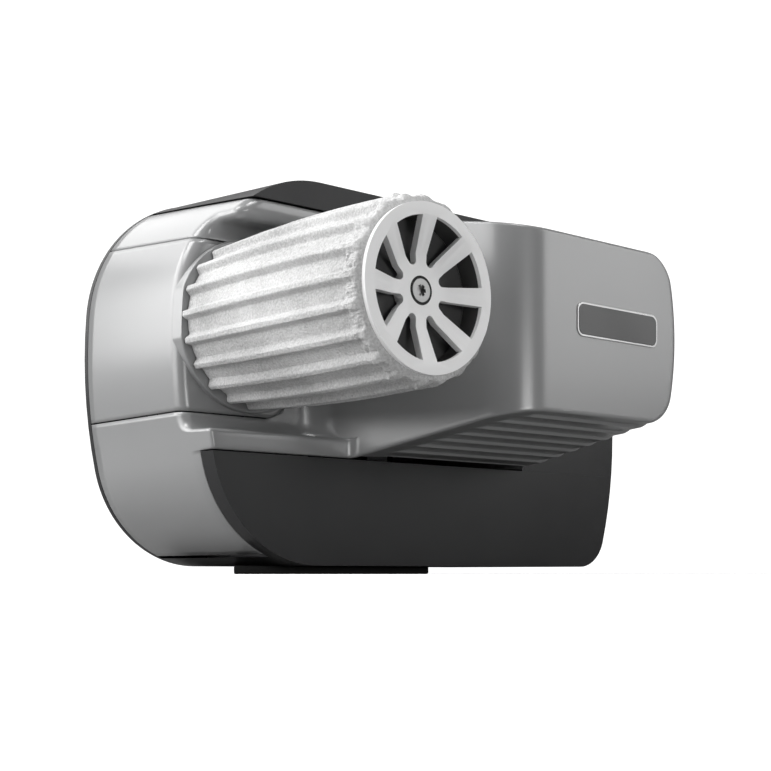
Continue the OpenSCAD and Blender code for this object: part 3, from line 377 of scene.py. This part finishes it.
def left_side(z, y):
    """x of the bulged left side at a height and depth, and how far a step inwards runs along x: three arcs
    in a row, of which the upper one rises and widens towards the back. The cosine of the side's tilt is
    kept off 0, where an arc would lie flat."""
    share = (y - front_y) / (rear_hi[1] - front_y)
    roof_r = ROOF_FRONT_R + (ROOF_BACK_R - ROOF_FRONT_R) * share
    roof_z = ROOF_FRONT + (frame_top - ROOF_FRONT) * share
    reach = SIDE_R - roof_r
    top_a = np.arcsin((roof_z - roof_r - SIDE_Z) / reach)
    low_a = math.asin((SIDE_Z - LOW_R - frame_low) / (SIDE_R - LOW_R))
    high = z > SIDE_Z + SIDE_R * np.sin(top_a)
    low = z < SIDE_Z - SIDE_R * math.sin(low_a)
    r = np.where(high, roof_r, np.where(low, LOW_R, SIDE_R))
    tilt = np.where(high, top_a, np.where(low, -low_a, 0))
    cx = side_x + SIDE_R - (SIDE_R - r) * np.cos(tilt)
    cz = SIDE_Z + (SIDE_R - r) * np.sin(tilt)
    cosine = np.sqrt(np.clip(1 - ((z - cz) / r) ** 2, LEAST_SQUARE, 1))
    return cx - r * cosine, 1 / np.maximum(cosine, LEAST_COSINE)


def height_at(level, y):
    """Height of the line that starts at a level of the front plane, at a depth y: level lines follow the
    seam and the sloping top towards the back, and draw together towards the motor housing's nose."""
    seam_part = np.clip((level - SEAM_LOW) / (SEAM_HIGH - SEAM_LOW), 0, 1)
    top_part = np.clip((level - SEAM_HIGH) / (top_front - SEAM_HIGH), 0, 1)
    seam_rise = SEAM_RISE * np.maximum(0, y - recess_y) / (back_y - recess_y)
    top_rise = (top_back - top_front) * (y - front_y) / (back_y - front_y)
    behind = level + seam_part * (1 - top_part) * seam_rise + top_part * top_rise
    out = np.clip((y - front_y) / (nose_y - front_y), 0, 1)
    low = ledge_under + (NOSE_LOW - ledge_under) * out
    high = top_front + (NOSE_TOP - top_front) * out
    before = low + (level - ledge_under) / (top_front - ledge_under) * (high - low)
    return np.where(y >= front_y, behind, before)


def rounded_line(corners, steps=6):
    """Points along a line of corners (u, v, radius): each inner corner becomes an arc that is tangent to
    both sides."""
    points = [np.array([corners[0][:2]], float)]
    for before, here, after in zip(corners, corners[1:], corners[2:]):
        p, r = np.array(here[:2], float), here[2]
        a = np.array(before[:2]) - p
        b = np.array(after[:2]) - p
        a, b = a / np.linalg.norm(a), b / np.linalg.norm(b)
        half = math.acos(np.clip(a @ b, -1, 1)) / 2
        centre = p + (a + b) / np.linalg.norm(a + b) * r / math.sin(half)
        start = p + a * r / math.tan(half) - centre
        turn = math.pi - 2 * half
        sign = 1 if start[0] * (p - centre)[1] - start[1] * (p - centre)[0] > 0 else -1
        angle = np.linspace(0, sign * turn, steps + 1)[:, None]
        across = np.array([-start[1], start[0]])
        points.append(centre + np.cos(angle) * start + np.sin(angle) * across)
    points.append(np.array([corners[-1][:2]], float))
    return np.concatenate(points)


def filled(points, step):
    """Points of a line with more put in between, so that no two lie further apart than a step."""
    gaps = np.maximum(1, np.ceil(np.linalg.norm(np.diff(points, axis=0), axis=1) / step)).astype(int)
    parts = [np.linspace(a, b, n, endpoint=False) for a, b, n in zip(points, points[1:], gaps)]
    return np.concatenate(parts + [points[-1:]])


def grid_quads(rows, columns, first=0, wrap=False):
    """Corner numbers of the quads of a grid of points; wrap joins the last column to the first."""
    number = first + np.arange(rows * columns).reshape(rows, columns)
    if wrap:
        number = np.concatenate([number, number[:, :1]], axis=1)
    quads = np.stack([number[:-1, :-1], number[:-1, 1:], number[1:, 1:], number[1:, :-1]], axis=-1)
    return quads.reshape(-1, 4)


SAME_EDGE, SHARP_ANGLE = 5e-6, 40


def joined(name, grids, material, thickness=0.0, wrap=False):
    """One object from several grids of points (rows, columns, 3) in millimetres. Edges that meet are
    merged, and a thickness gives the skin a wall on its inner side."""
    points, quads = [], []
    count = 0
    for grid in grids:
        rows, columns = grid.shape[:2]
        points.append(grid.reshape(-1, 3) * MM)
        quads.append(grid_quads(rows, columns, count, wrap))
        count += rows * columns
    mesh = bpy.data.meshes.new(name)
    mesh.from_pydata(np.concatenate(points).tolist(), [], np.concatenate(quads).tolist())
    work = bmesh.new()
    work.from_mesh(mesh)
    bmesh.ops.remove_doubles(work, verts=work.verts, dist=SAME_EDGE)
    bmesh.ops.recalc_face_normals(work, faces=work.faces)
    work.to_mesh(mesh)
    work.free()
    mesh.materials.append(material)
    mesh.shade_smooth()
    mesh.set_sharp_from_angle(angle=math.radians(SHARP_ANGLE))
    piece = new_object(name, mesh)
    if thickness:
        wall = piece.modifiers.new("wall", "SOLIDIFY")
        wall.thickness = thickness * MM
        wall.offset = -1
        wall.use_even_offset = False
    return piece


EDGE_ROWS = 5


def edge_rows(y, level, radius, above):
    """Rows of a rounded top or bottom edge as (y, level, inset): a quarter circle from the inset to the
    wall, upwards from the level or, above the wall, up to it."""
    turn = np.linspace(0, math.pi / 2, EDGE_ROWS + 1)[:-1]
    rise = radius * (1 - np.cos(turn))
    inset = radius * (1 - np.sin(turn))
    rows = np.stack([np.full(EDGE_ROWS, y), level - rise if above else level + rise, inset], axis=1)
    return rows[::-1] if above else rows


def with_inset(line):
    """A front profile of (y, level) with an inset of nothing put beside every point."""
    return np.concatenate([line, np.zeros((len(line), 1))], axis=1)


# Front profile in (y, level, inset): lower ledge, recess wall, upper ledge
UNDER_R, RIM_EDGE_R = 1.2, 1.7
RECESS_EDGE_R, LOWER_EDGE_R, UPPER_EDGE_R, FILLET_R = 6.0, 1.9, 5.6, 6.4
LOWER_LEDGE, LOWER_LEDGE_BACK, LOWER_LEDGE_R = 65.0, 65.8, 2.0
UPPER_LEDGE, UPPER_LEDGE_BACK, UPPER_LEDGE_R = 161.2, 160.8, 6.0
PROFILE_STEP, MIDDLE_ROWS = 2.0, 26
lower_line = np.concatenate([
    edge_rows(front_y, ledge_under, UNDER_R, False),
    with_inset(filled(rounded_line([
        (front_y, ledge_under + UNDER_R, 0), (front_y, LOWER_LEDGE, LOWER_LEDGE_R),
        (recess_y, LOWER_LEDGE_BACK, FILLET_R), (recess_y, SEAM_LOW - SEAM_HALF, 0)]), PROFILE_STEP))])
upper_line = np.concatenate([
    with_inset(filled(rounded_line([
        (recess_y, SEAM_HIGH + SEAM_HALF, 0), (recess_y, UPPER_LEDGE_BACK, FILLET_R),
        (front_y, UPPER_LEDGE, UPPER_LEDGE_R), (front_y, top_front - RIM_EDGE_R, 0)]), PROFILE_STEP)),
    edge_rows(front_y, top_front, RIM_EDGE_R, True)])
middle_level = np.append(
    np.linspace(SEAM_LOW - SEAM_HALF, SEAM_HIGH, MIDDLE_ROWS), SEAM_HIGH + SEAM_HALF)
middle_line = with_inset(np.stack([np.full(len(middle_level), recess_y), middle_level], axis=1))


def smooth_share(t):
    """A step from 0 to 1 that starts and ends level and without a bend."""
    t = np.clip(t, 0, 1)
    return t ** 3 * (10 - 15 * t + 6 * t * t)


SIDE_STEPS, NEAR_STEPS, ROUND_STEPS = 15, 4, 10
NEAR_LEN, LEAST_R = 2.0, 0.2
LEG_ROWS, LEG_EDGE, LEG_ROUND, LEG_FRONT_WIDTH = 26, 0.8, 0.25, 16.0


def side_columns(line, front_r, inset_at_back):
    """Left side and its rounded edge, for a front profile: straight back, then a quarter circle square to
    the profile. The circle's radius is wide at the recess wall and smaller on the ledges. The inset of an
    edge row fades out towards the back unless kept."""
    y0, level, inset = line[:, :1], line[:, 1:2], line[:, 2:]
    along = np.gradient(line[:, :2], axis=0)
    along = along / np.maximum(np.linalg.norm(along, axis=1, keepdims=True), 1e-6)
    inward_y, inward_level = along[:, 1:2], -along[:, :1]
    inward_y = np.where(inset > 0, 1.0, inward_y)
    inward_level = np.where(inset > 0, 0.0, inward_level)
    fillet_turn = np.arcsin(np.clip((y0 - recess_y + FILLET_R) / FILLET_R, 0, 1)) * 2 / math.pi
    radius = front_r + (RECESS_EDGE_R - front_r) * smooth_share(fillet_turn)
    edge_y = y0 + radius * inward_y
    stop = np.maximum(leg_front + LEG_EDGE, edge_y + NEAR_LEN)
    back = np.linspace(0, 1, SIDE_STEPS)[None, :]
    near = np.linspace(0, 1, NEAR_STEPS + 1)[None, 1:]
    turn = np.linspace(0, math.pi / 2, ROUND_STEPS + 1)[None, 1:]
    fade = np.concatenate([np.full((1, SIDE_STEPS), inset_at_back), near + inset_at_back * (1 - near),
                           np.ones((1, ROUND_STEPS))], axis=1)
    straight = np.concatenate([back_y + (stop - back_y) * back, stop + (edge_y - stop) * near], axis=1)
    inner = np.maximum(radius - inset, LEAST_R)
    off = radius - inner * np.sin(turn)
    y = np.concatenate([straight, y0 + off * inward_y], axis=1)
    levels = level + np.concatenate([radius + 0 * straight, off], axis=1) * inward_level
    inwards = np.concatenate([0 * straight, radius - inset - inner * np.cos(turn)], axis=1)
    inwards = inwards + inset * fade
    z = height_at(levels, y)
    x, lengthened = left_side(z, y)
    return np.stack([x + inwards * lengthened, y, z], axis=-1)


def wall_columns(line, start_x, end_x, count):
    """The front wall of a profile between two x, which may change from level to level."""
    y = line[:, :1] + line[:, 2:] + np.zeros((1, count))
    z = height_at(line[:, 1:2] + 0 * y, y)
    share = np.linspace(0, 1, count)[None, :]
    x = start_x + (end_x - start_x) * share
    return np.stack([x + 0 * y, y, z], axis=-1)


def cover_edge(level):
    """x where the gearbox cover ends at a level: a quarter circle at its lower corner, then straight."""
    drop = np.clip(SEAM_LOW + COVER_R - level, 0, COVER_R)
    return COVER_RIGHT - COVER_R + np.sqrt(COVER_R ** 2 - drop ** 2)


LOUVRES, LOUVRE_PITCH, LOUVRE_DEPTH, LOUVRE_EDGE = 9, 10.7, 1.3, 0.07
LOUVRE_START, LOUVRE_INSET, LOUVRE_FADE, LOUVRE_SIDE_RISE = 3.6, 8.0, 9.0, 12.0
FRONT_STEPS, BEND_STEPS, WALL_STEPS, NOSE_STEPS, FACE_STEPS = 6, 12, 220, 24, 60
LEDGE_FILLET, FILLET_GAIN = 6.0, 10.0
SIDE_OUT, SIDE_IN = 0.6, 20.0
slope = np.array([WALL_NOSE_X - WALL_BACK_X, nose_y - front_y])
lean = math.atan2(slope[0], -slope[1])


def louvre_rise(y):
    """How far the underside is set up into the housing at a depth: stairs, each with a steep step over a
    small share of the pitch and then a long tread that slopes back."""
    phase = (front_y - LOUVRE_START - y) / LOUVRE_PITCH
    inside = (phase > 0) & (phase < LOUVRES)
    t = phase % 1
    stair = np.minimum(t / LOUVRE_EDGE, (1 - t) / (1 - LOUVRE_EDGE))
    return np.where(inside, LOUVRE_DEPTH * stair, 0.0)


def housing_columns(line, start_x):
    """The front wall right of start_x, a fillet, the slanted wall, the nose's edge, its face and the right
    side: the plan's outline, drawn for every level of a front profile. Also gives how many columns come
    before the slanted wall."""
    y0, level, inset = line[:, :1], line[:, 1:2], line[:, 2:]
    share = np.clip((y0 - front_y) / (recess_y - front_y), 0, 1)
    fillet = LEDGE_FILLET + FILLET_GAIN * share

    def wall_x(y):
        return WALL_BACK_X + (y - front_y) * slope[0] / slope[1]

    centre_y = y0 - fillet
    centre_x = wall_x(centre_y) - fillet / math.cos(lean)
    part = np.linspace(0, 1, FRONT_STEPS)[None, :-1]
    front_x = start_x + (centre_x - start_x) * part
    angle = np.linspace(math.pi / 2, lean, BEND_STEPS)[None, :-1]
    bend_x = centre_x + (fillet + inset) * np.cos(angle)
    bend_y = centre_y + (fillet + inset) * np.sin(angle)
    nose_c = nose_y + NOSE_LEFT_R
    nose_cx = wall_x(nose_c) + NOSE_LEFT_R / math.cos(lean)
    wall_end = nose_c - (NOSE_LEFT_R - inset) * math.sin(lean)
    wall_start = centre_y + (fillet + inset) * math.sin(lean)
    wall_y = wall_start + (wall_end - wall_start) * np.linspace(0, 1, WALL_STEPS)[None, :-1]
    angle = np.linspace(math.pi + lean, 1.5 * math.pi, NOSE_STEPS)[None, :]
    nose_x = nose_cx + (NOSE_LEFT_R - inset) * np.cos(angle)
    turn_y = nose_c + (NOSE_LEFT_R - inset) * np.sin(angle)
    left_x = np.concatenate([wall_x(wall_y) + inset / math.cos(lean), nose_x], axis=1)
    left_y = np.concatenate([wall_y, turn_y], axis=1)

    face_z = height_at(level, nose_y + 0 * level)
    from_edge = np.minimum(face_z - NOSE_LOW, NOSE_TOP - face_z)
    reach = np.clip(FACE_CORNER_R - from_edge, 0, FACE_CORNER_R)
    corner_in = FACE_CORNER_R - np.sqrt(FACE_CORNER_R ** 2 - reach ** 2)
    barrel = np.sqrt(BARREL_R ** 2 - (face_z - ROLLER_AXIS[1]) ** 2)
    right = nose_right - BARREL_R + barrel - corner_in - inset
    side_y = left_y[:, ::-1]
    edge_r = NOSE_EDGE_R - inset
    bend = np.clip(nose_y + NOSE_EDGE_R - side_y, 0, edge_r)
    side_at = right - edge_r + np.sqrt(edge_r ** 2 - bend ** 2)
    part = np.linspace(0, 1, FACE_STEPS)[None, 1:-1]
    face_x = left_x[:, -1:] + (side_at[:, :1] - left_x[:, -1:]) * part
    inner_y = np.array([front_y - SIDE_OUT, front_y + SIDE_IN, back_y])[None, :] + 0 * right
    x = np.concatenate([front_x, bend_x, left_x, face_x, side_at, UNIT_RIGHT + 0 * inner_y], axis=1)
    y = np.concatenate([y0 + inset + 0 * front_x, bend_y, left_y, left_y[:, -1:] + 0 * face_x,
                        side_y, inner_y], axis=1)
    z = height_at(level + 0 * y, np.minimum(y, np.maximum(front_y, y0 + inset)))
    return np.stack([x, y, z], axis=-1), front_x.shape[1] + bend_x.shape[1]


def lid_between(row, first):
    """Flat lid over the housing: straight lines across from the left wall's row to the right wall's."""
    count = WALL_STEPS - 1 + NOSE_STEPS
    left = row[first:first + count]
    right = row[first + count + FACE_STEPS - 2:first + 2 * count + FACE_STEPS - 2][::-1]
    share = np.linspace(0, 1, FACE_STEPS)[None, :, None]
    return left[:, None, :] + (right - left)[:, None, :] * share


grey = finish("grey_lacquer", (0.238, 0.240, 0.242), (0.258, 0.260, 0.262), 0.34, 0.35, 0.004,
              spread=0.6, rough_spread=0.08, coat=0.8)

HOUSING_WALL = 2.0
lower_left = side_columns(lower_line, LOWER_EDGE_R, 0.0)
upper_left = side_columns(upper_line, UPPER_EDGE_R, 1.0)
corner_x = COVER_RIGHT - COVER_R
front_line = np.concatenate([lower_line, middle_line[1:-1], upper_line])
front_level = front_line[:, 1:2]
open_x = cover_edge(front_level) + SEAM_HALF
open_x = np.where((front_level < SEAM_LOW) | (front_level > SEAM_HIGH), corner_x, open_x)
leg_level = np.linspace(leg_low, ledge_under, LEG_ROWS)[:, None]
leg_y = np.concatenate([np.linspace(back_y, leg_front + LEG_EDGE, SIDE_STEPS),
                        [leg_front + LEG_ROUND, leg_front, leg_front]])[None, :]
leg_in = np.concatenate([np.zeros(SIDE_STEPS), [LEG_ROUND, LEG_EDGE, LEG_FRONT_WIDTH]])[None, :]
leg_x, leg_along = left_side(leg_level + 0 * leg_y, leg_y + 0 * leg_level)
leg = np.stack([leg_x + leg_in * leg_along, leg_y + 0 * leg_level, leg_level + 0 * leg_y], axis=-1)
around, first = housing_columns(front_line, COVER_RIGHT + SEAM_HALF)
top_lid = lid_between(around[-1], first)
under_lid = lid_between(around[0], first)
from_left = under_lid[:, :, 0] - under_lid[:, :1, 0]
fade = np.clip((from_left - LOUVRE_INSET) / LOUVRE_FADE, 0, 1)
under_lid[:, :, 2] += louvre_rise(under_lid[:, :, 1]) * fade
count = WALL_STEPS - 1 + NOSE_STEPS
right_side = slice(first + count + FACE_STEPS - 2, first + 2 * count + FACE_STEPS - 2)
low_share = np.clip(1 - (front_level - ledge_under) / LOUVRE_SIDE_RISE, 0, 1) ** 2
around[:, right_side, 2] += louvre_rise(around[:, right_side, 1]) * low_share
beside_cover = wall_columns(front_line, open_x, COVER_RIGHT + SEAM_HALF, count=6)
body = np.concatenate([beside_cover, around[:, 1:]], axis=1)
lower_front = wall_columns(lower_line, lower_left[:, -1:, 0], corner_x, count=9)
upper_front = wall_columns(upper_line, upper_left[:, -1:, 0], corner_x, count=9)
share = np.linspace(0, 1, 12)[None, :, None]
lid_left = upper_left[-1]
lid_right = np.stack([np.full(len(lid_left), UNIT_RIGHT), lid_left[:, 1], lid_left[:, 2]], axis=1)
back_lid = lid_left[:, None, :] + (lid_right - lid_left)[:, None, :] * share
grey_housing = joined("grey_housing", [leg, lower_left, lower_front, upper_left, upper_front, body,
                                       top_lid, under_lid, back_lid], grey, HOUSING_WALL)
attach(grey_housing, "drive_unit")
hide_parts("lower_shell", "upper_shell", "motor_housing")

# Gearbox cover: a smaller casting in the same lacquer, set into the housing with a thin open seam round
# it. A low round boss on its front wall closes the roller's root.
COVER_WALL, COVER_ROWS, COVER_COLUMNS = 2.2, 40, 20
cover_level = np.linspace(SEAM_LOW + SEAM_HALF, SEAM_HIGH - SEAM_HALF, COVER_ROWS)
cover_line = with_inset(np.stack([np.full(COVER_ROWS, recess_y), cover_level], axis=1))
cover_left = side_columns(cover_line, RECESS_EDGE_R, 0.0)
cover_end = cover_edge(cover_line[:, 1:2]) - SEAM_HALF
cover_front = wall_columns(cover_line, cover_left[:, -1:, 0], cover_end, COVER_COLUMNS)
gearbox_cover = joined("gearbox_cover_piece", [cover_left, cover_front], grey, COVER_WALL)
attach(gearbox_cover, "drive_unit")
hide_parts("gearbox_cover")

BOSS_R, BOSS_HOLE_R, BOSS_EDGE_R = 40.4, 30.0, 0.7
BOSS_RISE, BOSS_ROOT, BOSS_STEP, BOSS_SIDE_GAP = 3.0, 7.0, 1.5, 0.3


def turned(line, centre, count):
    """Surface of revolution about an axis along Y: a line of (radius, y) carried round a centre (x, z) in
    a count of equal steps."""
    angle = np.linspace(0, 2 * math.pi, count, endpoint=False)[None, :]
    r, y = line[:, :1], line[:, 1:]
    x, z = centre[0] + r * np.cos(angle), centre[1] + r * np.sin(angle)
    return np.stack([x, y + 0 * angle, z], axis=-1)


boss_front = recess_y - BOSS_RISE
boss_line = filled(rounded_line([
    (BOSS_R, recess_y + BOSS_ROOT, 0), (BOSS_R, boss_front, BOSS_EDGE_R), (BOSS_HOLE_R, boss_front, 0)]),
    BOSS_STEP)
boss_skin = turned(boss_line, ROLLER_AXIS, count=180)
# Where the boss is wider than the housing it is cut off along the bulged side
side_here = left_side(boss_skin[:, :, 2], boss_skin[:, :, 1])[0]
boss_skin[:, :, 0] = np.maximum(boss_skin[:, :, 0], side_here + BOSS_SIDE_GAP)
boss = joined("roller_boss", [boss_skin], grey, wrap=True)
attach(boss, "drive_unit")

# Roller: an aluminium extrusion with broad flutes between narrow ribs, a little thicker in its middle and
# sprayed with a light grey mineral grit that grips the tyre. The flutes end before a rounded free end.
roller_lo, roller_hi = (np.array(c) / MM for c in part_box("roller"))
RIBS, RIB_TURN, RIB_DEPTH, RIB_POINTS = 20, 15.9, 3.0, 36
RIB_HALF, RIB_FLANK = 0.50, 0.36
ROLLER_R, CROWN = (roller_hi[2] - roller_lo[2]) / 2, 1.75
RIM_R, RIM_ROUND, RIM_RISE, RIM_CLEAR, RIM_CLEAR_LEN = 34.6, 5.0, 0.6, 3, 2
BACK_ROUND, END_ZONE = 1.5, 16
LIP_SHARE, LIP_END, LIP_LEN = 0.5, 5.5, 4.5
LUMP_SEED, LUMP_BODY, LUMP_END = 4, 0.06, 0.28
LUMP_WIDTHS, LUMP_FROM, LUMP_FADE = (2, 5), 12, 6
JOIN_WIDTH, JOIN_DROP = 1.6, 0.8
FRONT_RING_R, END_RINGS_R = 30.2, (34.0, 12.0)
grit = finish("roller_grit", (0.36, 0.36, 0.36), (0.65, 0.65, 0.65), 0.9, 1.0, 0.6,
              spread=1.7, rough_spread=0.1)


def eased(t):
    """A step from 0 to 1 that starts and ends level."""
    t = np.clip(t, 0, 1)
    return t * t * (3 - 2 * t)


def roller_skin():
    """Radius over angle and length: a crowned floor, ribs with eased flanks on it, a lower lip that joins
    the ribs at the free end, lumps of grit that grow towards that end, and all of it cut off by a quarter
    round at both ends, with softened joins."""
    start, end = roller_lo[1], roller_hi[1]
    front_turn = np.linspace(0, math.pi / 2, 12)
    back_turn = np.linspace(0, math.pi / 2, 5)[1:]
    y = np.concatenate([start + RIM_ROUND * (1 - np.cos(front_turn)),
                        np.linspace(start + RIM_ROUND, start + END_ZONE, 26)[1:],
                        np.linspace(start + END_ZONE, end - BACK_ROUND, 24)[1:],
                        end - BACK_ROUND * (1 - np.sin(back_turn))])[:, None]
    angle = np.linspace(0, 2 * math.pi, RIBS * RIB_POINTS, endpoint=False)[None, :]
    off_rib = np.abs(((angle - math.radians(RIB_TURN)) * RIBS / (2 * math.pi) + 0.5) % 1 - 0.5) * 2
    rib = eased((RIB_HALF - off_rib) / RIB_FLANK)
    lip = LIP_SHARE * eased((start + LIP_END + LIP_LEN - y) / LIP_LEN)
    middle = (start + end) / 2
    floor_r = ROLLER_R - RIB_DEPTH - CROWN * ((y - middle) / (end - middle)) ** 2
    ribbed = floor_r + RIB_DEPTH * (rib + (1 - rib) * lip)
    ahead = np.clip((start + RIM_ROUND - y) / RIM_ROUND, 0, 1)
    front = RIM_R + (ROLLER_R - CROWN - RIM_R + RIM_RISE) * np.sqrt(1 - ahead ** 2)
    front = front + RIM_CLEAR * np.clip(y - start - RIM_ROUND, 0, RIM_CLEAR_LEN)
    past = np.clip((y - end + BACK_ROUND) / BACK_ROUND, 0, 1)
    behind = ROLLER_R - BACK_ROUND * (1 - np.sqrt(np.clip(1 - past ** 2, 0, 1)))
    lumps = np.random.default_rng(LUMP_SEED).normal(size=ribbed.shape)
    for axis, width in enumerate(LUMP_WIDTHS):
        shifts = range(-width, width + 1)
        lumps = sum(np.roll(lumps, k, axis=axis) for k in shifts) / math.sqrt(len(shifts))
    ribbed = ribbed + lumps * (LUMP_BODY + LUMP_END * eased((start + LUMP_FROM - y) / LUMP_FADE))
    ease = np.clip(0.5 + (front - ribbed) / JOIN_WIDTH, 0, 1)
    radius = front * (1 - ease) + ribbed * ease - JOIN_DROP * ease * (1 - ease)
    radius = np.minimum(radius, behind)
    return np.stack([ROLLER_AXIS[0] + radius * np.cos(angle), y + 0 * radius,
                     ROLLER_AXIS[1] + radius * np.sin(angle)], axis=-1)


skin = roller_skin()
end_line = np.array([[r, roller_hi[1]] for r in END_RINGS_R])
end_rings = turned(end_line, ROLLER_AXIS, skin.shape[1])
front_ring = turned(np.array([[FRONT_RING_R, roller_lo[1]]]), ROLLER_AXIS, skin.shape[1])
roller = joined("roller_piece", [np.concatenate([front_ring, skin, end_rings])], grit, wrap=True)
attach(roller, "roller")
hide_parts("roller")

# Hub cap: one light grey moulding with eight spokes dished towards a flat middle, clipped into the
# roller's rim and held by a steel six-lobe screw. A thin black ring round the screw's head is painted
# shade of its counterbore. An end plate and a lining of the roller's bore show behind the spokes, in a
# dark grey that is partly their own colour and partly painted shade of the deep bore.
BORE_R, BORE_FLARE, HUB_IN = 29.9, 0.3, 5.5
SHADE_RING_R, SHADE_RING_IN_R, SHADE_RING_RISE, SHADE_RING_DEPTH = 6.0, 4.85, 0.15, 1.0
cap_plastic = finish("cap_plastic", (0.84, 0.84, 0.84), (0.88, 0.88, 0.88), 0.42, 0.5, 0.01)
# Dark grey of the end plate and the bore lining: partly their own colour, partly painted shade of the deep
# bore
bore_grey_and_shade = finish("end_plate_grey_and_shade", (0.055, 0.055, 0.055), (0.065, 0.065, 0.065), 0.6, 0.8, 0.01)
screw_steel = finish("screw_steel", (0.30, 0.30, 0.30), (0.40, 0.40, 0.40), 0.42, 1.2, 0.02,
                     metallic=0.8)
softened("hub_cap", cap_plastic, 0.45, segments=3)
softened("roller_end_plate", bore_grey_and_shade, 0.3, segments=2)
softened("hub_screw", screw_steel, 0.35, segments=3)
plate_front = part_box("roller_end_plate")[0][1] / MM
hub_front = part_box("hub_cap")[0][1] / MM + HUB_IN
bore_line = filled(np.array([[BORE_R + BORE_FLARE, roller_lo[1]], [BORE_R, plate_front]]), PROFILE_STEP)
bore = joined("roller_bore", [turned(bore_line, ROLLER_AXIS, count=120)], bore_grey_and_shade, wrap=True)
# Black ring round the screw's head, a little proud of the hub: painted shade of the counterbore
shade_ring_line = np.array([[SHADE_RING_R, hub_front], [SHADE_RING_R - SHADE_RING_RISE, hub_front - SHADE_RING_RISE],
                        [SHADE_RING_IN_R, hub_front - SHADE_RING_RISE], [SHADE_RING_IN_R, hub_front + SHADE_RING_DEPTH]])
shade_ring = joined("screw_shade_ring", [turned(shade_ring_line, ROLLER_AXIS, count=64)], black_rubber, wrap=True)
for piece in (bore, shade_ring):
    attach(piece, "roller")

# Black covers: moulded plastic with a fine spark grain. The front panel and the two covers close the
# frame round the grey unit, and their edges are rounded by the mould. The cable gland is screwed into the
# right-hand cover.
black_satin = finish("black_satin", (0.008, 0.008, 0.009), (0.012, 0.012, 0.013), 0.52, 0.5, 0.012)
softened("front_panel", black_plastic, 1.8, segments=4)
softened("top_cover", black_satin, 1.8, segments=4)
softened("end_cover", black_plastic, 1.0, segments=3)
softened("cable_gland", black_plastic, 0.5, segments=2)

# Blank plate: a thin stamped aluminium plate, anodised dark with a plain light rim, and glued to the motor
# housing's front face. It carries nothing.
PLATE_MIDDLE, PLATE_HALF, PLATE_R = (82.5, 118.5), (29.5, 8.0), 4.0
PLATE_LIFT, PLATE_RIM_LIFT, PLATE_RIM_WIDTH, PLATE_RIM_TURN = 0.7, 0.5, 0.9, 0.7
PLATE_CHAMFER, PLATE_RING, PLATE_LEAST_R, CORNER_POINTS = 0.2, 3.0, 0.3, 10
plate_dark = finish("plate_dark", (0.055, 0.055, 0.056), (0.07, 0.07, 0.071), 0.35, 0.6, 0.004)
plate_rim = finish("plate_rim", (0.42, 0.42, 0.42), (0.50, 0.50, 0.50), 0.3, 0.6, 0.004, metallic=0.6)


def rounded_plate(half_x, half_z, r, rise, y):
    """Plate with round corners: rings of a rounded rectangle, from the rim on the face to its middle."""
    quarter = np.linspace(0, math.pi / 2, CORNER_POINTS)
    angle = np.concatenate([quarter + k * math.pi / 2 for k in range(4)])
    toward = np.repeat(np.arange(4), CORNER_POINTS) * math.pi / 2 + math.pi / 4
    sign_x, sign_z = np.sign(np.cos(toward)), np.sign(np.sin(toward))
    rings = []
    steps = ((0.0, 0.0), (0.0, rise - PLATE_CHAMFER), (PLATE_CHAMFER, rise), (PLATE_RING, rise))
    for inset, lift in steps:
        turn = max(r - inset, PLATE_LEAST_R)
        x = PLATE_MIDDLE[0] + sign_x * (half_x - r) + turn * np.cos(angle)
        z = PLATE_MIDDLE[1] + sign_z * (half_z - r) + turn * np.sin(angle)
        rings.append(np.stack([x, y - lift + 0 * x, z], axis=-1))
    middle_x = PLATE_MIDDLE[0] + sign_x * (half_x - half_z)
    middle = np.stack([middle_x, y - rise + 0 * middle_x, PLATE_MIDDLE[1] + 0 * middle_x], axis=-1)
    return np.stack(rings + [middle])


rim_skin = rounded_plate(*PLATE_HALF, PLATE_R, PLATE_RIM_LIFT, nose_y)
inner_skin = rounded_plate(PLATE_HALF[0] - PLATE_RIM_WIDTH, PLATE_HALF[1] - PLATE_RIM_WIDTH,
                           PLATE_R - PLATE_RIM_TURN, PLATE_LIFT, nose_y)
rim_piece = joined("blank_plate_rim", [rim_skin], plate_rim, wrap=True)
inner_piece = joined("blank_plate", [inner_skin], plate_dark, wrap=True)
for piece in (rim_piece, inner_piece):
    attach(piece, "drive_unit")

bpy.context.view_layer.update()
